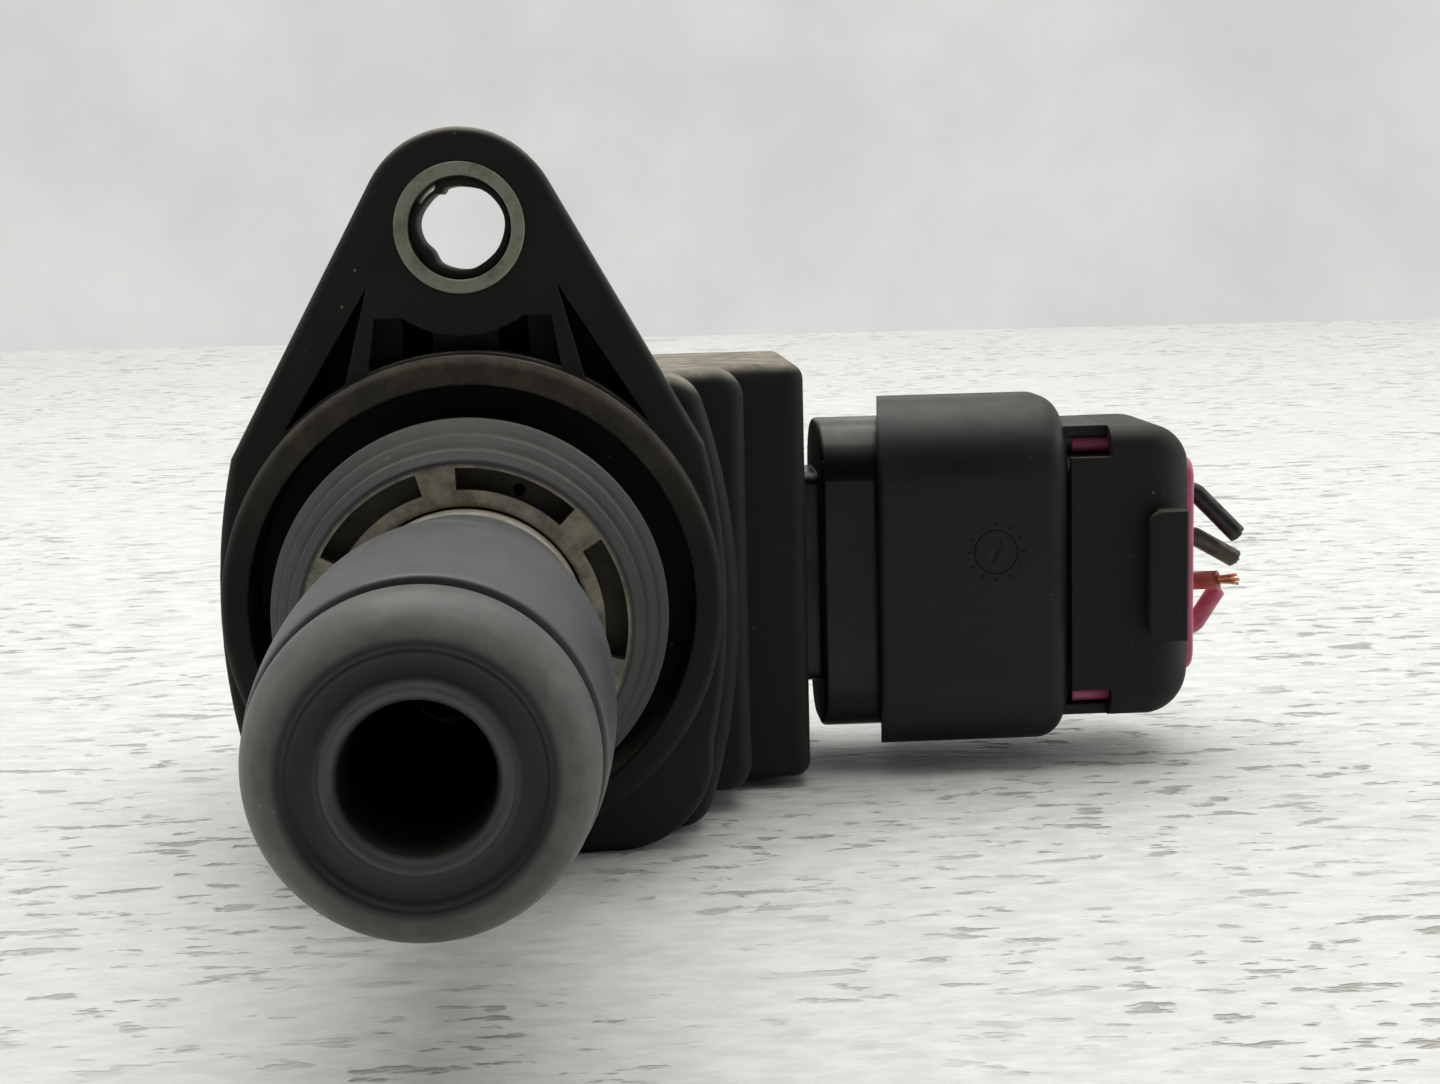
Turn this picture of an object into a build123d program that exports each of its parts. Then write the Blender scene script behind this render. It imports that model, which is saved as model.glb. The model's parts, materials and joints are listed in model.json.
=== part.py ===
from build123d import *

import math
import os

# A coil-on-plug ignition coil with its harness plug pushed home and the plug's four wires cut
# short. Millimetres. X runs from the boot axis towards the harness plug, Y along the boot axis
# from the boot's open tip to the coil block, and Z up towards the bolt ear. The origin is on the
# boot axis, in the plane of the collar's front face.

# ---- clearances -----------------------------------------------------------------------------
SLIDE_GAP = 0.15  # around a rubber piece that slides on a moulding
PLUG_GAP = 0.2  # between the plug's sleeve and the socket
PIN_GAP = 0.08  # round a hinge pin in its eyes
CONTACT_GAP = 0.10  # between a blade and its terminal
FIT_GAP = 0.05  # between a piece and the pocket it is pushed into for good
CATCH_GAP = 0.20  # between the latch hook and the catch under it

# ---- collar, flange and bolt ear ------------------------------------------------------------
COLLAR_R = 19.8
COLLAR_WALL = 2.2
COLLAR_HEIGHT = 2.0  # from the flange face to the collar's front face
WELL_DEPTH = 7.0  # from the collar's front face to the floor of the ring-shaped well
FLANGE_T = 4.0
FLANGE_HALF_WIDTH = 20.2
SHOULDER_X = 18.7
SHOULDER_Z = 12.1
FOOT_X = 18.8
FOOT_Z = -12.3
FLANGE_BOTTOM = -21.0
FLANGE_FLAT = 10.5  # half the flat stretch of the flange's lower edge
FOOT_BULGE = (2.2, -1.6)  # from the chord to the middle of the foot's round corner
EAR_Z = 29.7
EAR_R = 7.8
EAR_T = 9.0
EAR_FLOOR = 1.6  # floor left under the pockets of the ear
EAR_FROM_Z = 8.0  # the ear is thick above this height
BOSS_R = 8.4  # the pockets stop at this radius round the bolt axis
RIB_T = 0.9  # ribs between the pockets
POCKET_TOP = (7.4, 25.3)
POCKET_OUTER = (14.2, 14.4)
POCKET_INNER = (9.5, 17.4)
POCKET_LEDGE = 0.25  # from the collar to the pockets
RECESS_TOP = 22.8
RECESS_DEPTH = 2.6
SMALL_POCKET_X = 3.8
SMALL_POCKET_W = 2.4
EDGE_R = 0.7  # moulded edges of the flange
STEP_EDGE_R = 1.3  # moulded front edges of the steps and of the block

# ---- bolt bushing ---------------------------------------------------------------------------
BUSHING_OUTER_R = 5.1
BUSHING_INNER_R = 4.05
BUSHING_PROUD = 0.15
BOLT_HOLE_R = 3.3  # opening of the plastic ring that keeps the bolt captive
RETAINER_INSET = 1.2
TEAR_R = 3.95  # the tears in that ring reach this far out
TEARS = ((142, 0.9), (178, 0.5), (213, 0.7))  # degrees from +X, and width

# ---- coil block -----------------------------------------------------------------------------
STEP1_TOP = 17.3
STEP1_BOTTOM = -20.5
STEP1_CORNER_X = 18.1
STEP1_BULGE = (21.4, -1.5)
STEP1_CORNER_R = 3.0
STEP1_INSET = 0.5  # on the side away from the plug, from the flange's edge to the step
STEP2_FRONT = 11.0
STEP2_LEFT = -17.0
STEP2_RIGHT = 22.5
STEP2_BOTTOM = -18.8
STEP2_CORNER_R = 2.4
BLOCK_FRONT = 17.0
BLOCK_BACK = 37.0
BLOCK_LEFT = -16.8
BLOCK_RIGHT = 28.1
BLOCK_TOP = 17.4
BLOCK_BOTTOM = -19.3
BLOCK_CORNER_R = 1.4
BLOCK_WALL = 1.8
POTTING_INSET = 0.7  # from the block's back rim down to the resin
POTTING_COVER = 1.0  # resin over the tallest piece inside
CAVITY_GAP = 1.2  # from the windings down to the floor of the deep middle

# ---- magnetic circuit and windings, along X ---------------------------------------------------
COIL_Z = -1.0
COIL_LEFT = -9.6
COIL_LENGTH = 24.7
CORE_SIZE = 7.0
YOKE_BAR = 3.8
YOKE_T = 7.0
WINDOW_GAP = 0.4  # from the outermost flange to the yoke
END_GAP = 1.1  # from the bobbins' ends to the yoke's legs
PRIMARY_TUBE_R = 5.9
PRIMARY_WIRE_T = 1.3
SECONDARY_TUBE_T = 0.9
SECONDARY_WIRE_T = 1.4
BOBBIN_LIP = 0.2  # flanges stand this much above the wire
BOBBIN_END_T = 1.0
CHAMBERS = 6
CHAMBER_WALL = 0.7

# ---- driver board -----------------------------------------------------------------------------
BOARD_T = 1.0
BOARD_GAP = 0.6  # from the board to the block's right wall
BOARD_Y = 15.0
BOARD_Z = 26.0
CHIP_T = 2.2
CHIP_Y = 10.0
CHIP_Z = 14.0

# ---- tower, boot and contact --------------------------------------------------------------------
SPIGOT_R = 12.6
SPIGOT_FACE = -6.2
VENT_R = 0.45
VENT_AT = (4.2, 10.0)
VENT_DEPTH = 3.0
TOWER_R = 7.0
TOWER_END = -22.0
TOWER_BORE_R = 3.0
BOOT_TIP = -54.5
BOOT_TOP = -6.4
BOOT_NECK_R = 9.0
BOOT_NECK_END = -14.0
BOOT_WAIST_R = 11.0
BOOT_WAIST_Y = -30.0
BOOT_BELLY_R = 11.0
BOOT_BELLY_Y = -41.0
BOOT_BEAD_R = 10.1
BOOT_BEAD_ROUND = 4.4
BOOT_GROOVE_Y = -48.9
BOOT_GROOVE_W = 0.9
BOOT_GROOVE_R = 9.6
BOOT_LIP_STEP = 0.35  # the lip behind the groove stands this much above the bead
BOOT_EDGE_R = 0.5
BOOT_BLEND_R = 6.0
BOOT_WAIST_ROUND = 12.0
PLUG_BORE_R = 4.25
BORE_MOUTH = 0.8  # bevel at the mouth of the bore
PLUG_BORE_END = -31.0
CHIMNEY_R = 3.5  # narrow bore round the contact spring
RESISTOR_R = 2.5
RESISTOR_CAP_R = 2.75
RESISTOR_CAP_L = 2.5
RESISTOR_TOP = 5.5
RESISTOR_LENGTH = 15.0
HV_HEAD_T = 1.5
HV_POST_R = 1.0
SPRING_R = 2.2  # to the middle of the wire
SPRING_WIRE_R = 0.3
SPRING_PITCH = 1.6
SPRING_TURNS = 11
SPRING_END_COILS = 3
SPRING_END_PITCH = 0.66

# ---- well seal ----------------------------------------------------------------------------------
SEAL_FACE = -9.0
SEAL_WEB_T = 1.8
SEAL_BACK = 4.5
SEAL_WALL = 1.4
SEAL_RIM_R = 15.3
SEAL_RIM_Y = -3.4
SEAL_MID_R = 14.35
SEAL_MID_Y = -5.6
SEAL_FRONT_R = 13.4
SEAL_FRONT_Y = -7.7
SEAL_RIB_T = 1.3
SEAL_EDGE_R = 0.4
SEAL_FACE_LIP = 0.5  # web outside the slots, before the front rib
SLOT_COUNT = 6
SLOT_INNER_R = 10.4
SLOT_OUTER_R = 12.1
SLOT_SPAN = 46.0
SLOT_FIRST = 69.0  # degrees from +X towards +Z to the middle of the first slot

# ---- connector socket on the block ----------------------------------------------------------------
CONNECTOR_Y = 26.6
CONNECTOR_Z = -2.3
NECK_HALF_Z = 9.5
NECK_HALF_Y = 4.0
NECK_CORNER_R = 1.0
SOCKET_BACK = 29.7
SOCKET_FLOOR_T = 1.8
SOCKET_FRONT = 48.5
SOCKET_HALF_Z = 14.0
SOCKET_HALF_Y = 6.6
SOCKET_CORNER_R = 5.0
SOCKET_WALL = 1.7
SOCKET_EDGE_R = 0.5
CATCH_X = 40.0
CATCH_L = 3.0
CATCH_HEIGHT = 1.2
CATCH_HALF_Z = 3.2

# ---- contacts ---------------------------------------------------------------------------------
WAYS = 4
PITCH = 4.2
BLADE_W = 1.5
BLADE_T = 0.8
BLADE_TIP = 45.0
TERMINAL_SIZE = 2.6
TERMINAL_WALL = 0.4
TERMINAL_FRONT = 37.6
TERMINAL_BOX_L = 9.6
CRIMP_R = 1.1
CRIMP_END = 51.5

# ---- harness plug -------------------------------------------------------------------------------
SLEEVE_FRONT = 34.5
SLEEVE_BACK = 51.8
SLEEVE_WALL = 1.6
SLEEVE_WEB_T = 2.2
SLEEVE_FRONT_R = 0.6
SLEEVE_BACK_R = 2.4
SLEEVE_RAKE = 2.1  # the sleeve's far side starts this much further back than its near side
NOSE_FRONT = 37.0
NOSE_CORNER_R = 1.5
SEAL_SPACE = 2.0  # from the plug's inner nose to the socket's inner wall
NOSE_SEAL_END = 0.6  # from the socket's mouth to the nose seal
NOSE_SEAL_L = 5.0
NOSE_SEAL_RIBS = 3
NOSE_SEAL_PITCH = 1.8
NOSE_SEAL_RIB_T = 0.8
NOSE_SEAL_RIB_H = 0.5
LOCK_FRONT = 35.3
LOCK_INSET = 0.3
DIAL_AT = (44.9, 0.2)
DIAL_R = 2.0
DIAL_DEPTH = 0.1
DIAL_LINE = 0.15
DIAL_TURN = -20  # degrees that the arrow leans from upright
DIAL_ARROW = (
    (-0.22, -1.0), (0.22, -1.0), (0.22, 0.3), (0.6, 0.3), (0, 1.2), (-0.6, 0.3), (-0.22, 0.3),
)
DIAL_MARKS = 12
DIAL_MARK = (0.18, 0.4)
DIAL_MARK_R = 2.45
BODY_END = 58.2
BODY_HALF_Z = 10.6
BODY_HALF_Y = 6.2
BODY_CORNER_R = 2.5
ARM_T = 1.4
ARM_GAP = 0.1
ARM_HALF_Y = 4.8
ARM_CORNER_R = 0.6
ARM_FRONT = 52.5
RAIL_T = 0.95
RAIL_HALF_Y = 5.2
COVER_FRONT = 55.5
COVER_BACK = 63.3
COVER_HALF_Y = 7.4
COVER_WALL = 0.95
COVER_CORNER_R = 4.4
COVER_EDGE_R = 2.0
TONGUE_GAP = 0.1  # round the cover's tongue, which reaches forward to the sleeve
COVER_MOUTH_HALF_Z = 10.0
COVER_MOUTH_HALF_Y = 4.6
COVER_MOUTH_R = 2.2
GRIP_X = 58.4
GRIP_L = 3.6
GRIP_Z = -8.2
GRIP_H = 11.6
GRIP_STAND = 1.9
GRIP_UNDERCUT = 1.1
GRIP_EDGE_R = 0.4
GRIP_CORNER_R = 1.3  # of its two front corners
MAT_FRONT = 53.0
MAT_L = 4.6
MAT_HALF_Z = 9.4
MAT_HALF_Y = 3.4
MAT_CORNER_R = 1.2
RETAINER_BACK = 63.8
RETAINER_PLATE_HALF_Z = 9.8
RETAINER_PLATE_HALF_Y = 4.4
RETAINER_CORNER_R = 2.0
RETAINER_EDGE_R = 0.5
RETAINER_BRIDGE_T = 1.4

# ---- latch lever on the plug's far side -----------------------------------------------------------
LEVER_PIVOT_X = 49.0
LEVER_HALF_Z = 4.6
LEVER_T = 1.8
LEVER_LIFT = 0.45  # from the sleeve to the lever
LEVER_FRONT = 38.0
LEVER_BACK = 60.0
HOOK_L = 1.8
PAD_L = 3.4
PAD_STAND = 0.8
PAD_EDGE_R = 0.6
PIVOT_PIN_R = 0.9
EYE_T = 1.8
EYE_GAP = 0.25
EYE_R = 1.7
LEVER_SLOT_HALF_Z = 4.0
LEVER_SLOT_END = 46.0

# ---- wires --------------------------------------------------------------------------------------
WIRE_R = 0.85
CONDUCTOR_R = 0.45
WIRE_START = 51.7
WIRE_BEND_X = 64.9
WIRE_BEND_R = 1.2
# name: (row from the top, cut end of the insulation, bare length past it)
WIRES = {
    "black": (0, (68.9, 25.9, -0.2), 0.15),
    "brown": (1, (69.2, 27.7, -2.7), 0.15),
    "orange": (2, (67.1, 25.5, -4.2), 2.0),
    "magenta": (3, (67.4, 27.6, -5.4), 0.15),
}

# ---- sizes that follow --------------------------------------------------------------------------
FLANGE_FACE = COLLAR_HEIGHT
EAR_BACK = FLANGE_FACE + EAR_T
STEP1_FRONT = FLANGE_FACE + FLANGE_T
COIL_RIGHT = COIL_LEFT + COIL_LENGTH
PRIMARY_R = PRIMARY_TUBE_R + PRIMARY_WIRE_T
PRIMARY_FLANGE_R = PRIMARY_R + BOBBIN_LIP
SECONDARY_BORE_R = PRIMARY_FLANGE_R + FIT_GAP
SECONDARY_TUBE_R = SECONDARY_BORE_R + SECONDARY_TUBE_T
SECONDARY_R = SECONDARY_TUBE_R + SECONDARY_WIRE_T
SECONDARY_FLANGE_R = SECONDARY_R + BOBBIN_LIP
YOKE_LEFT = COIL_LEFT - END_GAP - YOKE_BAR
YOKE_RIGHT = COIL_RIGHT + END_GAP + YOKE_BAR
YOKE_HALF_Z = SECONDARY_FLANGE_R + WINDOW_GAP + YOKE_BAR
COIL_Y = BLOCK_BACK - POTTING_INSET - POTTING_COVER - SECONDARY_FLANGE_R
CAVITY_FLOOR = COIL_Y - SECONDARY_FLANGE_R - CAVITY_GAP
CAVITY_LEDGE = BLOCK_FRONT + BLOCK_WALL
RESIN_FACE = BLOCK_BACK - POTTING_INSET
BOARD_RIGHT = BLOCK_RIGHT - BLOCK_WALL - BOARD_GAP
BOARD_MIDDLE_Y = RESIN_FACE - POTTING_COVER - BOARD_Y / 2
RESISTOR_BOTTOM = RESISTOR_TOP - RESISTOR_LENGTH
SPRING_END_TOP = RESISTOR_BOTTOM - SPRING_PITCH * SPRING_TURNS - 2 * SPRING_WIRE_R
SLEEVE_HALF_Z = SOCKET_HALF_Z + PLUG_GAP + SLEEVE_WALL
SLEEVE_HALF_Y = SOCKET_HALF_Y + PLUG_GAP + SLEEVE_WALL
NOSE_HALF_Z = SOCKET_HALF_Z - SOCKET_WALL - SEAL_SPACE
NOSE_HALF_Y = SOCKET_HALF_Y - SOCKET_WALL - SEAL_SPACE
ARM_HALF_Z = BODY_HALF_Z + ARM_GAP + ARM_T
RAIL_HALF_Z = ARM_HALF_Z + ARM_GAP + RAIL_T
COVER_HALF_Z = ARM_HALF_Z + ARM_GAP + COVER_WALL
SLEEVE_FAR_Y = CONNECTOR_Y + SLEEVE_HALF_Y
LEVER_Y = SLEEVE_FAR_Y + LEVER_LIFT
PIVOT_Y = LEVER_Y + LEVER_T / 2


# ---- helpers ------------------------------------------------------------------------------------
def slab(sketch, y_start, y_end):
    """Extrudes a sketch, drawn in X and Z, along Y."""
    return extrude(Plane.XZ.offset(-y_start) * sketch, amount=y_end - y_start, dir=(0, 1, 0))


def bar(sketch, x_start, x_end):
    """Extrudes a sketch, drawn in Y and Z, along X."""
    return extrude(Plane.YZ.offset(x_start) * sketch, amount=x_end - x_start, dir=(1, 0, 0))


def rounded(width, height, radius, at=(0, 0)):
    """Makes a rectangle with round corners, centred on a point."""
    return Pos(*at) * RectangleRounded(width, height, radius)


def span(x_start, x_end, z_start, z_end):
    """Makes a plain rectangle between two values of X and of Z."""
    middle = ((x_start + x_end) / 2, (z_start + z_end) / 2)
    return Pos(*middle) * Rectangle(x_end - x_start, z_end - z_start)


def polygon(*corners):
    """Makes a face from (x, y) or (x, y, radius) corners."""
    face = make_face(Polyline(*[corner[:2] for corner in corners], close=True))
    for corner in corners:
        if len(corner) == 3:
            nearest = face.vertices().sort_by_distance((corner[0], corner[1], 0))[0]
            face = fillet(nearest, corner[2])
    return face


def turned(face):
    """Turns a face, drawn with X as the radius, about the boot axis."""
    return revolve(face, Axis.Y, 360)


def ring(outer_r, inner_r):
    """Makes a flat ring."""
    return Circle(outer_r) - Circle(inner_r)


def front_edges(solid, axis=Axis.Y):
    """Gives the edges round the face that lies furthest back along an axis."""
    return solid.faces().sort_by(axis)[0].edges()


def connector_oblong(half_y, half_z, radius):
    """Makes a rounded rectangle in Y and Z, centred on the connector's axis."""
    return rounded(2 * half_y, 2 * half_z, radius, (CONNECTOR_Y, CONNECTOR_Z))


def row_z(row):
    """Gives the height of a way of the connector, counted from the top."""
    return CONNECTOR_Z + PITCH * ((WAYS - 1) / 2 - row)


def both_sides(shape):
    """Mirrors a shape across the connector's middle plane and keeps both."""
    return shape + mirror(shape, Plane.XY.offset(CONNECTOR_Z))


# ---- coil housing -------------------------------------------------------------------------------
def flange_outline():
    """Draws the flange: a bolt ear on tangent sides over a squarish foot."""
    shoulder = Vector(SHOULDER_X, SHOULDER_Z)
    ear = Vector(0, EAR_Z)
    reach = (shoulder - ear).length
    slope = math.atan2(shoulder.Y - ear.Y, shoulder.X - ear.X)
    turn = slope + math.acos(EAR_R / reach)
    tangent = (EAR_R * math.cos(turn), EAR_Z + EAR_R * math.sin(turn))
    corner = (
        (FOOT_X + FLANGE_FLAT) / 2 + FOOT_BULGE[0],
        (FOOT_Z + FLANGE_BOTTOM) / 2 + FOOT_BULGE[1],
    )
    half = make_face(
        Line((0, FLANGE_BOTTOM), (FLANGE_FLAT, FLANGE_BOTTOM))
        + ThreePointArc((FLANGE_FLAT, FLANGE_BOTTOM), corner, (FOOT_X, FOOT_Z))
        + ThreePointArc((FOOT_X, FOOT_Z), (FLANGE_HALF_WIDTH, 0), (SHOULDER_X, SHOULDER_Z))
        + Line((SHOULDER_X, SHOULDER_Z), tangent)
        + CenterArc((0, EAR_Z), EAR_R, math.degrees(turn), 90 - math.degrees(turn))
        + Line((0, EAR_Z + EAR_R), (0, FLANGE_BOTTOM))
    )
    return half + mirror(half, Plane.YZ)


def step_outline():
    """Draws the first step: bulging on the plug's side, and within the flange on the other."""
    half = make_face(
        Line((0, STEP1_BOTTOM), (STEP1_CORNER_X, STEP1_BOTTOM))
        + ThreePointArc(
            (STEP1_CORNER_X, STEP1_BOTTOM), STEP1_BULGE, (STEP1_CORNER_X, STEP1_TOP)
        )
        + Line((STEP1_CORNER_X, STEP1_TOP), (0, STEP1_TOP))
        + Line((0, STEP1_TOP), (0, STEP1_BOTTOM))
    )
    corners = half.vertices().filter_by(lambda v: abs(v.X - STEP1_CORNER_X) < 0.01)
    half = fillet(corners, STEP1_CORNER_R)
    far_half = span(-COLLAR_R * 2, 0, STEP1_BOTTOM, STEP1_TOP) & offset(flange_outline(), -STEP1_INSET)
    return half + far_half


def ear_pockets():
    """Cores the bolt ear from the front: two long pockets, a recess and two small pockets."""
    keep_out = Circle(COLLAR_R + POCKET_LEDGE) + Pos(0, EAR_Z) * Circle(BOSS_R)
    floor = EAR_BACK - EAR_FLOOR
    foot_z = POCKET_OUTER[1] - 3 * RIB_T
    wing = polygon(
        POCKET_TOP, POCKET_OUTER, (POCKET_OUTER[0], foot_z), (POCKET_INNER[0], foot_z), POCKET_INNER
    )
    wing_pocket = slab(wing - keep_out, FLANGE_FACE - 1, floor)
    top_x = POCKET_TOP[0] - RIB_T / 2
    top_z = RECESS_TOP
    foot_x = POCKET_INNER[0] - RIB_T
    recess = polygon((-top_x, top_z), (top_x, top_z), (foot_x, foot_z), (-foot_x, foot_z)) - keep_out
    recess_pocket = slab(recess, FLANGE_FACE - 1, FLANGE_FACE + RECESS_DEPTH)
    small = span(
        SMALL_POCKET_X - SMALL_POCKET_W / 2, SMALL_POCKET_X + SMALL_POCKET_W / 2, foot_z, top_z
    )
    small_pocket = slab(small - keep_out, FLANGE_FACE - 1, floor)
    return [
        wing_pocket, mirror(wing_pocket, Plane.YZ), recess_pocket,
        small_pocket, mirror(small_pocket, Plane.YZ),
    ]


def block_cavity():
    """The room for the coil inside the block, open at the back, with a deeper middle."""
    main = span(
        BLOCK_LEFT + BLOCK_WALL, BLOCK_RIGHT - BLOCK_WALL,
        BLOCK_BOTTOM + BLOCK_WALL, BLOCK_TOP - BLOCK_WALL,
    )
    deep = span(
        COIL_LEFT - END_GAP, COIL_RIGHT + END_GAP,
        COIL_Z - SECONDARY_FLANGE_R - WINDOW_GAP, COIL_Z + SECONDARY_FLANGE_R + WINDOW_GAP,
    )
    return slab(main, CAVITY_LEDGE, BLOCK_BACK + 1) + slab(deep, CAVITY_FLOOR, CAVITY_LEDGE + 1)


def make_housing():
    """The main moulding: flange, bolt ear, collar, tower and the stepped block."""
    outline = flange_outline()
    flange = slab(outline, FLANGE_FACE, STEP1_FRONT)
    ear = slab(outline & span(-40, 40, EAR_FROM_Z, 60), FLANGE_FACE, EAR_BACK)
    flange = fillet(front_edges(flange + ear), EDGE_R)
    step1 = fillet(front_edges(slab(step_outline(), STEP1_FRONT, BLOCK_FRONT)), STEP_EDGE_R)
    step2_width = STEP2_RIGHT - STEP2_LEFT
    step2_height = BLOCK_TOP - STEP2_BOTTOM
    step2_middle = ((STEP2_RIGHT + STEP2_LEFT) / 2, (BLOCK_TOP + STEP2_BOTTOM) / 2)
    step2 = slab(rounded(step2_width, step2_height, STEP2_CORNER_R, step2_middle), STEP2_FRONT, BLOCK_FRONT)
    step2 = fillet(front_edges(step2), STEP_EDGE_R)
    block_middle = ((BLOCK_RIGHT + BLOCK_LEFT) / 2, (BLOCK_TOP + BLOCK_BOTTOM) / 2)
    block_face = rounded(
        BLOCK_RIGHT - BLOCK_LEFT, BLOCK_TOP - BLOCK_BOTTOM, BLOCK_CORNER_R, block_middle
    )
    block = fillet(front_edges(slab(block_face, BLOCK_FRONT, BLOCK_BACK)), STEP_EDGE_R)
    collar = fillet(front_edges(slab(Circle(COLLAR_R), 0, STEP1_FRONT)), EDGE_R)
    body = flange + step1 + step2 + block + collar
    body -= slab(Circle(COLLAR_R - COLLAR_WALL), -1, WELL_DEPTH)
    body += slab(Circle(SPIGOT_R), SPIGOT_FACE, WELL_DEPTH)
    body += slab(Circle(TOWER_R), TOWER_END, WELL_DEPTH)
    for pocket in ear_pockets():
        body -= pocket
    body -= slab(Pos(0, EAR_Z) * Circle(BUSHING_OUTER_R), FLANGE_FACE - 1, EAR_BACK + 1)
    body -= block_cavity()
    body -= slab(Circle(TOWER_BORE_R), TOWER_END - 1, CAVITY_FLOOR + 1)
    body -= slab(Pos(*VENT_AT) * Circle(VENT_R), SPIGOT_FACE - 1, SPIGOT_FACE + VENT_DEPTH)
    neck = connector_oblong(NECK_HALF_Y, NECK_HALF_Z, NECK_CORNER_R)
    return body - bar(neck, BLOCK_RIGHT - BLOCK_WALL - 1, BLOCK_RIGHT + 1)


def make_bushing():
    """The steel compression limiter in the ear."""
    face = Pos(0, EAR_Z) * ring(BUSHING_OUTER_R, BUSHING_INNER_R)
    return slab(face, FLANGE_FACE - BUSHING_PROUD, EAR_BACK + BUSHING_PROUD)


def make_bolt_retainer():
    """The thin plastic ring inside the bushing, torn through on its left side."""
    face = ring(BUSHING_INNER_R, BOLT_HOLE_R)
    for angle, width in TEARS:
        notch = Pos(TEAR_R - BOLT_HOLE_R, 0) * Rectangle(BOLT_HOLE_R * 2, width)
        face -= Rot(0, 0, angle) * notch
    return slab(Pos(0, EAR_Z) * face, FLANGE_FACE + RETAINER_INSET, EAR_BACK - RETAINER_INSET)


# ---- inside the block ---------------------------------------------------------------------------
def on_coil_axis(sketch, x_start, x_end):
    """Extrudes a sketch along X, centred on the windings' axis."""
    return bar(Pos(COIL_Y, COIL_Z) * sketch, x_start, x_end)


def make_core():
    """The straight middle leg of laminations that the windings sit on."""
    return on_coil_axis(Rectangle(CORE_SIZE, CORE_SIZE), COIL_LEFT - END_GAP, COIL_RIGHT + END_GAP)


def make_yoke():
    """The frame of laminations that closes the magnetic circuit round the windings."""
    outer = span(YOKE_LEFT, YOKE_RIGHT, COIL_Z - YOKE_HALF_Z, COIL_Z + YOKE_HALF_Z)
    window_half = YOKE_HALF_Z - YOKE_BAR
    window = span(YOKE_LEFT + YOKE_BAR, YOKE_RIGHT - YOKE_BAR, COIL_Z - window_half, COIL_Z + window_half)
    return slab(outer - window, COIL_Y - YOKE_T / 2, COIL_Y + YOKE_T / 2)


def make_primary_bobbin():
    """A square-bored spool with two flanges."""
    spool = on_coil_axis(Circle(PRIMARY_TUBE_R), COIL_LEFT, COIL_RIGHT)
    for start in (COIL_LEFT, COIL_RIGHT - BOBBIN_END_T):
        spool += on_coil_axis(Circle(PRIMARY_FLANGE_R), start, start + BOBBIN_END_T)
    bore = on_coil_axis(Rectangle(CORE_SIZE, CORE_SIZE), COIL_LEFT - 1, COIL_RIGHT + 1)
    return spool - bore


def make_primary_winding():
    """A few layers of thick enamelled wire, as one sleeve."""
    sleeve = ring(PRIMARY_R, PRIMARY_TUBE_R)
    return on_coil_axis(sleeve, COIL_LEFT + BOBBIN_END_T, COIL_RIGHT - BOBBIN_END_T)


def chamber_starts():
    """Gives where each chamber of the secondary bobbin starts, and the chambers' length."""
    room = COIL_LENGTH - 2 * BOBBIN_END_T - (CHAMBERS - 1) * CHAMBER_WALL
    length = room / CHAMBERS
    first = COIL_LEFT + BOBBIN_END_T
    return [first + i * (length + CHAMBER_WALL) for i in range(CHAMBERS)], length


def make_secondary_bobbin():
    """A spool divided into chambers, which keeps the high voltage apart turn by turn."""
    spool = on_coil_axis(Circle(SECONDARY_FLANGE_R), COIL_LEFT, COIL_RIGHT)
    starts, length = chamber_starts()
    for start in starts:
        spool -= on_coil_axis(ring(SECONDARY_FLANGE_R + 1, SECONDARY_TUBE_R), start, start + length)
    return spool - on_coil_axis(Circle(SECONDARY_BORE_R), COIL_LEFT - 1, COIL_RIGHT + 1)


def make_secondary_winding():
    """Fine wire, one ring in each chamber."""
    starts, length = chamber_starts()
    rings = [on_coil_axis(ring(SECONDARY_R, SECONDARY_TUBE_R), start, start + length) for start in starts]
    return Compound(children=[shape.solid() for shape in rings])


def make_potting():
    """The resin that fills the block to just under its back rim."""
    fill = span(
        BLOCK_LEFT + BLOCK_WALL, BLOCK_RIGHT - BLOCK_WALL,
        BLOCK_BOTTOM + BLOCK_WALL, BLOCK_TOP - BLOCK_WALL,
    )
    room = span(
        YOKE_LEFT, BLOCK_RIGHT - BLOCK_WALL,
        COIL_Z - YOKE_HALF_Z, COIL_Z + YOKE_HALF_Z,
    )
    resin = slab(fill, CAVITY_LEDGE, RESIN_FACE)
    return resin - slab(room, CAVITY_LEDGE - 1, RESIN_FACE - POTTING_COVER)


def make_board():
    """The driver's circuit board, on edge beside the windings."""
    return bar(Pos(BOARD_MIDDLE_Y, COIL_Z) * Rectangle(BOARD_Y, BOARD_Z), BOARD_RIGHT - BOARD_T, BOARD_RIGHT)


def make_chip():
    """The power switch on the board."""
    chip_right = BOARD_RIGHT - BOARD_T
    return bar(Pos(BOARD_MIDDLE_Y, COIL_Z) * Rectangle(CHIP_Y, CHIP_Z), chip_right - CHIP_T, chip_right)


# ---- high-voltage way ---------------------------------------------------------------------------
def make_hv_terminal():
    """The pin from the secondary winding down to the resistor."""
    head = slab(Circle(RESISTOR_CAP_R), RESISTOR_TOP, RESISTOR_TOP + HV_HEAD_T)
    return head + slab(Circle(HV_POST_R), RESISTOR_TOP + HV_HEAD_T, COIL_Y - SECONDARY_FLANGE_R)


def make_resistor():
    """The suppression resistor: a ceramic rod with a metal cap at each end."""
    rod = slab(Circle(RESISTOR_R), RESISTOR_BOTTOM, RESISTOR_TOP)
    for start in (RESISTOR_BOTTOM, RESISTOR_TOP - RESISTOR_CAP_L):
        rod += slab(Circle(RESISTOR_CAP_R), start, start + RESISTOR_CAP_L)
    return rod


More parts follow.
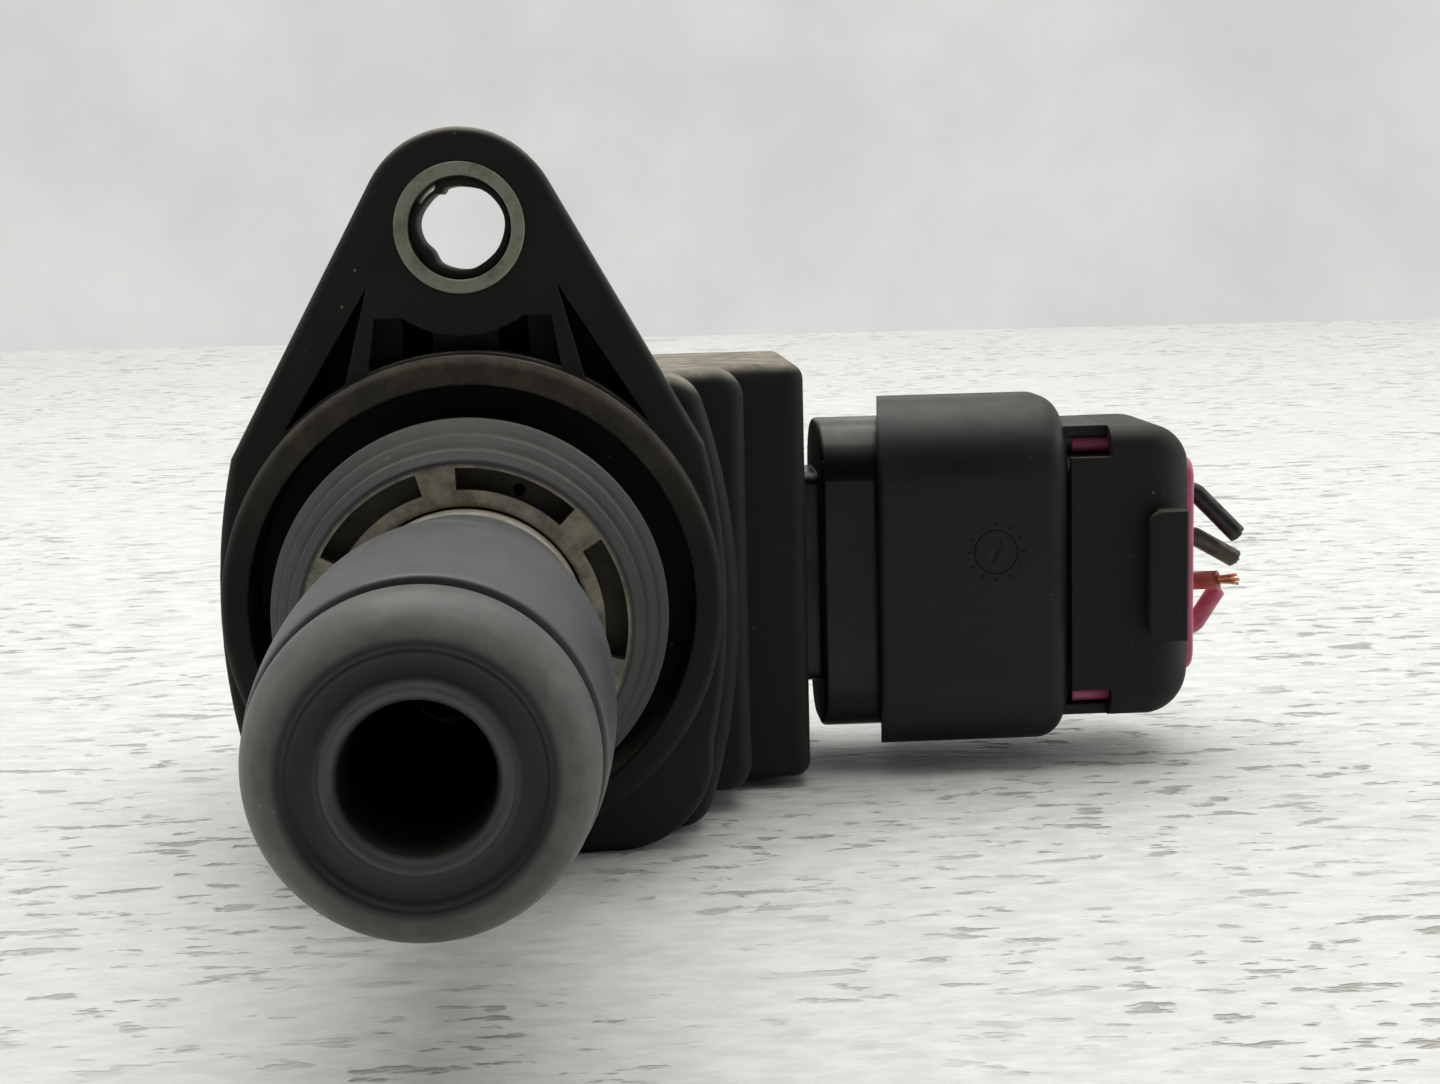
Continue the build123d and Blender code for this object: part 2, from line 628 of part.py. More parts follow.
def coil_spring(top, pitch, turns):
    """Sweeps round wire along a helix that runs down from a height on the boot axis."""
    path = Helix(pitch, pitch * turns, SPRING_R, center=(0, 0, 0), direction=(0, 0, 1))
    section = Plane(path @ 0, z_dir=path % 0) * Circle(SPRING_WIRE_R)
    spring = sweep(section, path=path)
    return Pos(0, top, 0) * Rot(90, 0, 0) * spring


def make_spring():
    """The open turns of the contact spring, from the resistor down."""
    return coil_spring(RESISTOR_BOTTOM - SPRING_WIRE_R, SPRING_PITCH, SPRING_TURNS)


def make_spring_end():
    """The close turns at the spring's free end, which touch the spark plug."""
    return coil_spring(SPRING_END_TOP - 2 * SPRING_WIRE_R, SPRING_END_PITCH, SPRING_END_COILS)


# ---- rubber -------------------------------------------------------------------------------------
def make_boot():
    """The silicone boot, from the tower down to its open tip."""
    groove_lip = BOOT_GROOVE_Y + BOOT_GROOVE_W / 2
    groove_bead = BOOT_GROOVE_Y - BOOT_GROOVE_W / 2
    face = polygon(
        (TOWER_R + SLIDE_GAP, BOOT_TOP),
        (BOOT_NECK_R, BOOT_TOP, BOOT_EDGE_R),
        (BOOT_NECK_R, BOOT_NECK_END, BOOT_BLEND_R),
        (BOOT_WAIST_R, BOOT_WAIST_Y, BOOT_WAIST_ROUND),
        (BOOT_BELLY_R, BOOT_BELLY_Y, BOOT_BLEND_R),
        (BOOT_BEAD_R + BOOT_LIP_STEP, groove_lip, BOOT_EDGE_R),
        (BOOT_GROOVE_R, groove_lip),
        (BOOT_GROOVE_R, groove_bead),
        (BOOT_BEAD_R, groove_bead, BOOT_EDGE_R),
        (BOOT_BEAD_R, BOOT_TIP, BOOT_BEAD_ROUND),
        (PLUG_BORE_R + BORE_MOUTH, BOOT_TIP),
        (PLUG_BORE_R, BOOT_TIP + BORE_MOUTH),
        (PLUG_BORE_R, PLUG_BORE_END),
        (CHIMNEY_R, PLUG_BORE_END + 1),
        (CHIMNEY_R, TOWER_END - 1),
        (TOWER_R + SLIDE_GAP, TOWER_END - 1),
    )
    return turned(face)


def make_well_seal():
    """The ribbed silicone seal on the spigot, with slots through its front web."""
    bore = SPIGOT_R + FIT_GAP
    skirt = bore + SEAL_WALL
    half_rib = SEAL_RIB_T / 2
    face = polygon(
        (BOOT_NECK_R + SLIDE_GAP, SEAL_FACE, SEAL_EDGE_R),
        (SLOT_OUTER_R + SEAL_FACE_LIP, SEAL_FACE, SEAL_EDGE_R),
        (SEAL_FRONT_R, SEAL_FRONT_Y - half_rib, SEAL_EDGE_R * 0.75),
        (SEAL_FRONT_R, SEAL_FRONT_Y + half_rib),
        (SEAL_MID_R, SEAL_MID_Y - half_rib, SEAL_EDGE_R),
        (SEAL_MID_R, SEAL_MID_Y + half_rib),
        (SEAL_RIM_R, SEAL_RIM_Y - half_rib, SEAL_EDGE_R),
        (SEAL_RIM_R, SEAL_RIM_Y + half_rib, SEAL_EDGE_R),
        (skirt, SEAL_RIM_Y + SEAL_RIB_T),
        (skirt, SEAL_BACK),
        (bore, SEAL_BACK),
        (bore, SEAL_FACE + SEAL_WEB_T),
        (BOOT_NECK_R + SLIDE_GAP, SEAL_FACE + SEAL_WEB_T),
    )
    seal = turned(face)
    for i in range(SLOT_COUNT):
        middle = SLOT_FIRST - i * 360 / SLOT_COUNT
        first = math.radians(middle - SLOT_SPAN / 2)
        last = math.radians(middle + SLOT_SPAN / 2)
        reach = 2 * SLOT_OUTER_R
        wedge = make_face(Polyline(
            (0, 0), (reach * math.cos(first), reach * math.sin(first)),
            (reach * math.cos(last), reach * math.sin(last)), close=True,
        ))
        slot = wedge & ring(SLOT_OUTER_R, SLOT_INNER_R)
        seal -= slab(slot, SEAL_FACE - 1, SEAL_FACE + SEAL_WEB_T + 1)
    return seal


# ---- connector socket -----------------------------------------------------------------------------
def blade(row):
    """One contact blade, from the driver board into the socket."""
    return bar(Pos(CONNECTOR_Y, row_z(row)) * Rectangle(BLADE_T, BLADE_W), BOARD_RIGHT, BLADE_TIP)


def make_blades():
    """The four contact blades."""
    return Compound(children=[blade(row).solid() for row in range(WAYS)])


def make_socket():
    """The glossy socket: a neck through the block's wall, a floor and an oblong shroud."""
    outer = connector_oblong(SOCKET_HALF_Y, SOCKET_HALF_Z, SOCKET_CORNER_R)
    inner = connector_oblong(
        SOCKET_HALF_Y - SOCKET_WALL, SOCKET_HALF_Z - SOCKET_WALL, SOCKET_CORNER_R - SOCKET_WALL
    )
    socket = fillet(front_edges(bar(outer, SOCKET_BACK, SOCKET_FRONT), Axis.X), SOCKET_EDGE_R)
    socket -= bar(inner, SOCKET_BACK + SOCKET_FLOOR_T, SOCKET_FRONT + 1)
    neck = connector_oblong(NECK_HALF_Y, NECK_HALF_Z, NECK_CORNER_R)
    socket += bar(neck, BLOCK_RIGHT - BLOCK_WALL, SOCKET_BACK)
    catch_y = CONNECTOR_Y + SOCKET_HALF_Y
    catch = polygon(
        (CATCH_X, catch_y - 0.5), (CATCH_X, catch_y + CATCH_HEIGHT),
        (CATCH_X + CATCH_L / 3, catch_y + CATCH_HEIGHT), (CATCH_X + CATCH_L, catch_y),
        (CATCH_X + CATCH_L, catch_y - 0.5),
    )
    socket += extrude(
        Plane.XY.offset(CONNECTOR_Z - CATCH_HALF_Z) * catch, amount=2 * CATCH_HALF_Z, dir=(0, 0, 1)
    )
    for row in range(WAYS):
        socket -= blade(row)
    return socket


# ---- harness plug ---------------------------------------------------------------------------------
def date_dial():
    """A round moulding mark: a ring groove, an arrow and short marks, with no lettering."""
    dial = ring(DIAL_R, DIAL_R - DIAL_LINE) + Rot(0, 0, DIAL_TURN) * polygon(*DIAL_ARROW)
    for i in range(DIAL_MARKS):
        dial += Rot(0, 0, i * 360 / DIAL_MARKS) * Pos(0, DIAL_MARK_R) * Rectangle(*DIAL_MARK)
    face = CONNECTOR_Y - SLEEVE_HALF_Y
    return slab(Pos(*DIAL_AT) * dial, face - 1, face + DIAL_DEPTH)


def make_plug_housing():
    """The plug's moulding: outer sleeve, inner nose with four ways, rear body and rails."""
    sleeve_face = connector_oblong(SLEEVE_HALF_Y, SLEEVE_HALF_Z, SOCKET_CORNER_R + PLUG_GAP + SLEEVE_WALL)
    sleeve = bar(sleeve_face, SLEEVE_FRONT, SLEEVE_BACK)
    sleeve = fillet(sleeve.faces().sort_by(Axis.X)[-1].edges(), SLEEVE_BACK_R)
    sleeve = fillet(front_edges(sleeve, Axis.X), SLEEVE_FRONT_R)
    bore = connector_oblong(
        SOCKET_HALF_Y + PLUG_GAP, SOCKET_HALF_Z + PLUG_GAP, SOCKET_CORNER_R + PLUG_GAP
    )
    sleeve -= bar(bore, SLEEVE_FRONT - 1, SLEEVE_BACK - SLEEVE_WEB_T)
    rake = polygon(
        (SLEEVE_FRONT - 1, SLEEVE_FAR_Y + 1), (SLEEVE_FRONT - 1, SLEEVE_FAR_Y - 2 * SLEEVE_HALF_Y),
        (SLEEVE_FRONT, SLEEVE_FAR_Y - 2 * SLEEVE_HALF_Y), (SLEEVE_FRONT + SLEEVE_RAKE, SLEEVE_FAR_Y),
        (SLEEVE_FRONT + SLEEVE_RAKE, SLEEVE_FAR_Y + 1),
    )
    lowest = Plane.XY.offset(CONNECTOR_Z - SLEEVE_HALF_Z - 1)
    sleeve -= extrude(lowest * rake, amount=2 * SLEEVE_HALF_Z + 2, dir=(0, 0, 1))
    nose = bar(connector_oblong(NOSE_HALF_Y, NOSE_HALF_Z, NOSE_CORNER_R), NOSE_FRONT, SLEEVE_BACK)
    body = bar(connector_oblong(BODY_HALF_Y, BODY_HALF_Z, BODY_CORNER_R), SLEEVE_BACK - 1, BODY_END)
    rail_middle = (CONNECTOR_Y, CONNECTOR_Z + RAIL_HALF_Z - RAIL_T / 2)
    rail = bar(Pos(*rail_middle) * Rectangle(2 * RAIL_HALF_Y, RAIL_T), SLEEVE_BACK - 1, COVER_FRONT)
    plug = sleeve + nose + body + both_sides(rail)
    for row in range(WAYS):
        way = Pos(CONNECTOR_Y, row_z(row))
        size = TERMINAL_SIZE + 2 * FIT_GAP
        plug -= bar(way * Rectangle(size, size), NOSE_FRONT - 1, TERMINAL_FRONT + TERMINAL_BOX_L)
        plug -= bar(way * Circle(CRIMP_R + FIT_GAP), TERMINAL_FRONT, MAT_FRONT + 1)
    plug -= bar(connector_oblong(MAT_HALF_Y, MAT_HALF_Z, MAT_CORNER_R), MAT_FRONT, BODY_END + 1)
    slot = span(SLEEVE_FRONT - 1, LEVER_SLOT_END, SLEEVE_FAR_Y - SLEEVE_WALL - 1, SLEEVE_FAR_Y + 1)
    slot_floor = Plane.XY.offset(CONNECTOR_Z - LEVER_SLOT_HALF_Z)
    plug -= extrude(slot_floor * slot, amount=2 * LEVER_SLOT_HALF_Z, dir=(0, 0, 1))
    plug += both_sides(lever_eye())
    return plug - date_dial()


def lever_eye():
    """One of the two eyes that carry the latch lever's pivot."""
    foot = span(LEVER_PIVOT_X - EYE_R, LEVER_PIVOT_X + EYE_R, SLEEVE_FAR_Y - 0.5, PIVOT_Y)
    face = foot + Pos(LEVER_PIVOT_X, PIVOT_Y) * Circle(EYE_R)
    face -= Pos(LEVER_PIVOT_X, PIVOT_Y) * Circle(PIVOT_PIN_R + PIN_GAP)
    start = CONNECTOR_Z + LEVER_HALF_Z + EYE_GAP
    return extrude(Plane.XY.offset(start) * face, amount=EYE_T, dir=(0, 0, 1))


def make_latch_lever():
    """The rocking latch: hook in front, pivot in the middle and thumb pad behind."""
    hook_tip = CONNECTOR_Y + SOCKET_HALF_Y + CATCH_HEIGHT + CATCH_GAP
    top = LEVER_Y + LEVER_T
    face = polygon(
        (LEVER_FRONT, hook_tip), (LEVER_FRONT + HOOK_L, hook_tip), (LEVER_FRONT + HOOK_L, LEVER_Y),
        (LEVER_BACK, LEVER_Y), (LEVER_BACK, top + PAD_STAND, PAD_EDGE_R),
        (LEVER_BACK - PAD_L, top + PAD_STAND, PAD_EDGE_R), (LEVER_BACK - PAD_L - 1, top),
        (LEVER_FRONT, top, PAD_EDGE_R),
    )
    lowest = Plane.XY.offset(CONNECTOR_Z - LEVER_HALF_Z)
    plate = extrude(lowest * face, amount=2 * LEVER_HALF_Z, dir=(0, 0, 1))
    narrow = LEVER_SLOT_HALF_Z - 2 * EYE_GAP
    below = span(LEVER_FRONT - 1, LEVER_FRONT + HOOK_L + 1, hook_tip - 1, LEVER_Y)
    trim_start = CONNECTOR_Z + narrow
    trim = extrude(Plane.XY.offset(trim_start) * below, amount=LEVER_HALF_Z, dir=(0, 0, 1))
    plate -= both_sides(trim)
    reach = LEVER_HALF_Z + EYE_GAP + EYE_T
    pin = Pos(LEVER_PIVOT_X, PIVOT_Y) * Circle(PIVOT_PIN_R)
    return plate + extrude(Plane.XY.offset(CONNECTOR_Z - reach) * pin, amount=2 * reach, dir=(0, 0, 1))


def make_interface_seal():
    """The silicone ring round the plug's nose, with three ribs, which seals the socket."""
    reach_y = SOCKET_HALF_Y - SOCKET_WALL - CONTACT_GAP
    reach_z = SOCKET_HALF_Z - SOCKET_WALL - CONTACT_GAP
    corner = SOCKET_CORNER_R - SOCKET_WALL - CONTACT_GAP
    end = SOCKET_FRONT - NOSE_SEAL_END
    low = NOSE_SEAL_RIB_H
    seal = bar(connector_oblong(reach_y - low, reach_z - low, corner - low), end - NOSE_SEAL_L, end)
    for i in range(NOSE_SEAL_RIBS):
        rib_end = end - NOSE_SEAL_RIB_H - i * NOSE_SEAL_PITCH
        seal += bar(connector_oblong(reach_y, reach_z, corner), rib_end - NOSE_SEAL_RIB_T, rib_end)
    return seal - bar(
        connector_oblong(NOSE_HALF_Y, NOSE_HALF_Z, NOSE_CORNER_R), end - NOSE_SEAL_L - 1, end + 1
    )


def make_terminal_lock():
    """The nose piece that keeps the terminals home, with a window for each blade."""
    outline = connector_oblong(
        NOSE_HALF_Y - LOCK_INSET, NOSE_HALF_Z - LOCK_INSET, NOSE_CORNER_R - LOCK_INSET
    )
    lock = bar(outline, LOCK_FRONT, NOSE_FRONT)
    for row in range(WAYS):
        window = Rectangle(BLADE_T + 4 * CONTACT_GAP, BLADE_W + 4 * CONTACT_GAP)
        lock -= bar(Pos(CONNECTOR_Y, row_z(row)) * window, LOCK_FRONT - 1, NOSE_FRONT + 1)
    return lock


def make_female_terminals():
    """Four box terminals, each crimped on its wire."""
    terminals = []
    for row in range(WAYS):
        way = Pos(CONNECTOR_Y, row_z(row))
        box_end = TERMINAL_FRONT + TERMINAL_BOX_L
        box = bar(way * Rectangle(TERMINAL_SIZE, TERMINAL_SIZE), TERMINAL_FRONT, box_end)
        mouth = Rectangle(BLADE_T + 2 * CONTACT_GAP, BLADE_W + 2 * CONTACT_GAP)
        box -= bar(way * mouth, TERMINAL_FRONT - 1, box_end - TERMINAL_WALL)
        box += bar(way * Circle(CRIMP_R), box_end, CRIMP_END)
        box -= bar(way * Circle(CONDUCTOR_R), box_end + TERMINAL_WALL, CRIMP_END + 1)
        terminals.append(box.solid())
    return Compound(children=terminals)


def make_mat_seal():
    """The block of silicone that the four wires pass through."""
    mat = bar(connector_oblong(MAT_HALF_Y, MAT_HALF_Z, MAT_CORNER_R), MAT_FRONT, MAT_FRONT + MAT_L)
    for row in range(WAYS):
        mat -= bar(Pos(CONNECTOR_Y, row_z(row)) * Circle(WIRE_R), MAT_FRONT - 1, MAT_FRONT + MAT_L + 1)
    return mat


def make_seal_retainer():
    """The coloured clip: a plate behind the mat seal and an arm along each edge of the body."""
    bridge_front = BODY_END + ARM_GAP
    outline = connector_oblong(RETAINER_PLATE_HALF_Y, RETAINER_PLATE_HALF_Z, RETAINER_CORNER_R)
    plate = bar(outline, bridge_front, RETAINER_BACK)
    plate = fillet(plate.faces().sort_by(Axis.X)[-1].edges(), RETAINER_EDGE_R)
    bridge = connector_oblong(ARM_HALF_Y, ARM_HALF_Z, ARM_CORNER_R)
    plate += bar(bridge, bridge_front, bridge_front + RETAINER_BRIDGE_T)
    arm_middle = (CONNECTOR_Y, CONNECTOR_Z + ARM_HALF_Z - ARM_T / 2)
    arm_section = rounded(2 * ARM_HALF_Y, ARM_T, ARM_CORNER_R, arm_middle)
    arm = bar(arm_section, ARM_FRONT, bridge_front + RETAINER_BRIDGE_T)
    plate += both_sides(arm)
    for row in range(WAYS):
        hole = Pos(CONNECTOR_Y, row_z(row)) * Circle(WIRE_R + SLIDE_GAP)
        plate -= bar(hole, bridge_front - 1, RETAINER_BACK + 1)
    return plate


def capped_block(half_y, half_z, x_start, x_end, corner_r):
    """Makes a bar on the connector's axis whose top and bottom edges are round at its far end."""
    block = bar(connector_oblong(half_y, half_z, COVER_EDGE_R), x_start, x_end)
    ends = block.edges().filter_by(Axis.Y).sort_by(Axis.X)[-2:]
    return fillet(ends, corner_r)


def make_rear_cover():
    """The cap over the plug's rear body, with a thumb grip on its near side."""
    cover = capped_block(COVER_HALF_Y, COVER_HALF_Z, COVER_FRONT, COVER_BACK, COVER_CORNER_R)
    cover -= capped_block(
        COVER_HALF_Y - COVER_WALL, COVER_HALF_Z - COVER_WALL,
        COVER_FRONT - 1, COVER_BACK - COVER_WALL, COVER_CORNER_R - COVER_WALL,
    )
    mouth = connector_oblong(COVER_MOUTH_HALF_Y, COVER_MOUTH_HALF_Z, COVER_MOUTH_R)
    cover -= bar(mouth, COVER_FRONT - 1, COVER_BACK + 1)
    near = CONNECTOR_Y - COVER_HALF_Y
    grip = polygon(
        (GRIP_X + GRIP_UNDERCUT, near + 0.5), (GRIP_X + GRIP_UNDERCUT, near - GRIP_STAND / 2),
        (GRIP_X, near - GRIP_STAND / 2), (GRIP_X, near - GRIP_STAND, GRIP_EDGE_R),
        (GRIP_X + GRIP_L, near - GRIP_STAND, GRIP_EDGE_R), (GRIP_X + GRIP_L, near + 0.5),
    )
    grip = extrude(Plane.XY.offset(GRIP_Z) * grip, amount=GRIP_H, dir=(0, 0, 1))
    outline = span(GRIP_X, GRIP_X + GRIP_L, GRIP_Z, GRIP_Z + GRIP_H)
    outline = fillet(outline.vertices().sort_by(Axis.X)[:2], GRIP_CORNER_R)
    grip &= slab(outline, near - GRIP_STAND, near + 0.5)
    tongue_half_z = BODY_HALF_Z - TONGUE_GAP
    tongue = Pos(near + COVER_WALL / 2, CONNECTOR_Z) * Rectangle(COVER_WALL, 2 * tongue_half_z)
    return cover + grip + bar(tongue, SLEEVE_BACK + TONGUE_GAP, COVER_FRONT + 1)


# ---- wires ----------------------------------------------------------------------------------------
def wire_path(row, end, start_x, past=0.0):
    """Runs straight out of the plug, then turns to the wire's cut end and a little past it."""
    bend = Vector(WIRE_BEND_X, CONNECTOR_Y, row_z(row))
    last = Vector(*end)
    tip = last + (last - bend).normalized() * past
    return FilletPolyline((start_x, CONNECTOR_Y, row_z(row)), bend, tip, radius=WIRE_BEND_R)


def round_sweep(path, radius):
    """Sweeps a circle along a path."""
    return sweep(Plane(path @ 0, z_dir=path % 0) * Circle(radius), path=path)


def make_wire(row, end):
    """The insulation of one wire, hollow for its conductor."""
    tube = round_sweep(wire_path(row, end, WIRE_START), WIRE_R)
    return tube - round_sweep(wire_path(row, end, WIRE_START - 1, 1.0), CONDUCTOR_R)


def make_conductor(row, end, bare):
    """The copper of one wire, from its crimp to its bare end."""
    start = TERMINAL_FRONT + TERMINAL_BOX_L + TERMINAL_WALL
    return round_sweep(wire_path(row, end, start, bare), CONDUCTOR_R)


NODES = {
    "coil_housing": make_housing(),
    "mounting_bushing": make_bushing(),
    "bolt_retainer": make_bolt_retainer(),
    "core_stack": make_core(),
    "outer_yoke": make_yoke(),
    "primary_bobbin": make_primary_bobbin(),
    "primary_winding": make_primary_winding(),
    "secondary_bobbin": make_secondary_bobbin(),
    "secondary_winding": make_secondary_winding(),
    "potting_fill": make_potting(),
    "driver_board": make_board(),
    "igniter_chip": make_chip(),
    "hv_terminal": make_hv_terminal(),
    "suppression_resistor": make_resistor(),
    "contact_spring": make_spring(),
    "spring_end": make_spring_end(),
    "boot": make_boot(),
    "well_seal": make_well_seal(),
    "connector_socket": make_socket(),
    "socket_terminals": make_blades(),
    "plug_housing": make_plug_housing(),
    "latch_lever": make_latch_lever(),
    "interface_seal": make_interface_seal(),
    "terminal_lock": make_terminal_lock(),
    "female_terminals": make_female_terminals(),
    "mat_seal": make_mat_seal(),
    "seal_retainer": make_seal_retainer(),
    "rear_cover": make_rear_cover(),
}
for colour, (row, end, bare) in WIRES.items():
    NODES[f"wire_{colour}"] = make_wire(row, end)
    NODES[f"conductor_{colour}"] = make_conductor(row, end, bare)

os.makedirs("parts", exist_ok=True)
for name, shape in NODES.items():
    export_step(shape, f"parts/{name}.step")
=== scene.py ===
"""Looks of a coil-on-plug ignition coil with its harness plug pushed home and its wires cut short.

Metres. X runs from the boot's axis towards the harness plug, Y along that axis from the boot's
open tip to the coil block, and Z up towards the bolt ear.
"""

import json
import logging
import math
import random
from collections.abc import Callable, Iterable
from dataclasses import dataclass, field
from enum import Enum

import bmesh
import bpy
from mathutils import Matrix, Vector


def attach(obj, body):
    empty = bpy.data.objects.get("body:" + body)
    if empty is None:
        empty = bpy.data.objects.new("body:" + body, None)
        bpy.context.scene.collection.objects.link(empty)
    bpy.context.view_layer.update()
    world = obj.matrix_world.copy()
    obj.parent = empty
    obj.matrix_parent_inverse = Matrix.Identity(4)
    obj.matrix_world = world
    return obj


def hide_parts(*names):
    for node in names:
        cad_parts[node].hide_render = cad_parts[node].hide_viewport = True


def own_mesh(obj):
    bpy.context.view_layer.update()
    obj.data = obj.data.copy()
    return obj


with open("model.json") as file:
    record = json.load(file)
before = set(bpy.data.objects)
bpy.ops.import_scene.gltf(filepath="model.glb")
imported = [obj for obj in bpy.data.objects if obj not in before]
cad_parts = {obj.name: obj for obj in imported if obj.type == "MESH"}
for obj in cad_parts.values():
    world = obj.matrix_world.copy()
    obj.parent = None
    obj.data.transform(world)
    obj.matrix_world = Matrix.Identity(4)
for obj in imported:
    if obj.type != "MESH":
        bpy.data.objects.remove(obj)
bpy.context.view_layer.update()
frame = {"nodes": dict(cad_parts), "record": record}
LOG = logging.getLogger("coil")
MM = 0.001
SAME_PLACE = 1e-7  # Corners this close are merged.
EAR_HEIGHT = 29.7 * MM  # The bolt's axis above the boot's.
DUST = (0.36, 0.325, 0.25, 1.0)
# Painted shade: the dark tone that is laid where shade falls.
PAINTED_SHADE = (0.006, 0.0057, 0.005, 1.0)

Colour = tuple[float, float, float]
Socket = bpy.types.NodeSocket
Value = Socket | float | tuple[float, ...]
Look = dict[str, Value]
Edges = list[bmesh.types.BMEdge]


def rgba(colour: Colour, gain: float = 1.0) -> tuple[float, float, float, float]:
    """Turns a colour into four numbers, brightened by a gain."""
    return (colour[0] * gain, colour[1] * gain, colour[2] * gain, 1.0)


class Gloss(Enum):
    """How shiny a surface is, as its roughness."""

    MATT = 0.62
    SATIN = 0.46
    SEMI = 0.34
    GLOSSY = 0.22


class Along(Enum):
    """The direction that a pattern of layers is counted in."""

    X = "X"
    Y = "Y"
    Z = "Z"


# ---- node trees -----------------------------------------------------------------------------
class Graph:
    """Adds nodes to a node tree and joins their sockets."""

    def __init__(self, tree: bpy.types.NodeTree) -> None:
        """Starts work on a tree."""
        self.tree = tree

    def node(self, kind: str, inputs: dict | None = None, **settings: object) -> bpy.types.Node:
        """Adds a node.

        Args:
            kind: The node's type name.
            inputs: Values or sockets for its inputs, by name or place.
            settings: Values for its own properties.

        Returns:
            The new node.
        """
        made = self.tree.nodes.new(kind)
        for key, value in settings.items():
            setattr(made, key, value)
        for key, value in (inputs or {}).items():
            self.feed(made.inputs[key], value)
        return made

    def feed(self, socket: Socket, value: Value) -> None:
        """Links a socket to another, or sets its value."""
        if isinstance(value, bpy.types.NodeSocket):
            self.tree.links.new(value, socket)
        else:
            socket.default_value = value

    def maths(self, operation: str, first: Value, second: Value = 0.0, clamp: bool = False) -> Socket:
        """Does one sum, and keeps the answer from 0 to 1 if clamp is set."""
        inputs = {0: first, 1: second}
        return self.node("ShaderNodeMath", inputs, operation=operation, use_clamp=clamp).outputs[0]

    def times(self, first: Value, second: Value, clamp: bool = False) -> Socket:
        """Multiplies two numbers."""
        return self.maths("MULTIPLY", first, second, clamp)

    def plus(self, first: Value, second: Value, clamp: bool = False) -> Socket:
        """Adds two numbers."""
        return self.maths("ADD", first, second, clamp)

    def minus(self, first: Value, second: Value, clamp: bool = False) -> Socket:
        """Takes the second number from the first."""
        return self.maths("SUBTRACT", first, second, clamp)

    def larger(self, first: Value, second: Value) -> Socket:
        """Gives the larger of two numbers."""
        return self.maths("MAXIMUM", first, second)

    def mix(self, share: Value, first: Value, second: Value) -> Socket:
        """Mixes two colours by the share of the second."""
        return self.node("ShaderNodeMix", {0: share, 6: first, 7: second}, data_type="RGBA").outputs[2]

    def fade(self, value: Value, low: float, high: float, start: float = 0.0, end: float = 1.0) -> Socket:
        """Maps a number smoothly, from start at low and before it to end at high and past it."""
        inputs = {"Value": value, "From Min": low, "From Max": high, "To Min": start, "To Max": end}
        return self.node("ShaderNodeMapRange", inputs, interpolation_type="SMOOTHSTEP").outputs[0]

    def noise(self, vector: Socket, scale: Value, detail: float = 3.0, rough: float = 0.55) -> Socket:
        """Adds cloud noise from 0 to 1, with scale clouds per metre."""
        inputs = {"Vector": vector, "Scale": scale, "Detail": detail, "Roughness": rough}
        return self.node("ShaderNodeTexNoise", inputs).outputs[0]

    def cells(self, vector: Socket, scale: Value) -> Socket:
        """Gives how far each place is from the middle of its cell."""
        return self.node("ShaderNodeTexVoronoi", {"Vector": vector, "Scale": scale}).outputs[0]

    def stretched(self, vector: Socket, scale: Colour, turn: Colour = (0.0, 0.0, 0.0)) -> Socket:
        """Scales and turns the place that a pattern is read at, with the turns in radians."""
        return self.node("ShaderNodeMapping", {"Vector": vector, "Scale": scale, "Rotation": turn}).outputs[0]

    def place(self) -> Socket:
        """Gives the place on the piece, in metres."""
        return self.node("ShaderNodeTexCoord").outputs["Object"]

    def parts(self, vector: Socket) -> bpy.types.NodeOutputs:
        """Splits a vector into its X, Y and Z."""
        return self.node("ShaderNodeSeparateXYZ", {0: vector}).outputs

    def axis(self, direction: Along) -> Socket:
        """Gives one coordinate of the place on the piece."""
        return self.parts(self.place())[direction.value]

    def facing(self, direction: Along) -> Socket:
        """Gives how much the surface faces along an axis, from -1 to 1."""
        return self.parts(self.node("ShaderNodeTexCoord").outputs["Normal"])[direction.value]

    def bump(self, height: Socket, depth: float, strength: float, under: Socket | None = None) -> Socket:
        """Raises a surface.

        Args:
            height: The pattern, from 0 to 1.
            depth: How far 1 stands out, in metres.
            strength: The share of it that counts.
            under: The normal that the pattern is laid on, if it isn't the surface's own.

        Returns:
            The socket with the new normal.
        """
        inputs = {"Strength": strength, "Distance": depth, "Height": height}
        if under is not None:
            inputs["Normal"] = under
        return self.node("ShaderNodeBump", inputs).outputs[0]

    def effect(self, tree: bpy.types.NodeTree, **inputs: Value) -> dict[str, Socket]:
        """Places a shared effect.

        Args:
            tree: The effect's node group.
            inputs: Its inputs, with an underscore for each space in a name.

        Returns:
            Its outputs by name.
        """
        made = self.node("ShaderNodeGroup", node_tree=tree)
        for key, value in inputs.items():
            self.feed(made.inputs[key.replace("_", " ")], value)
        return {socket.name: socket for socket in made.outputs}


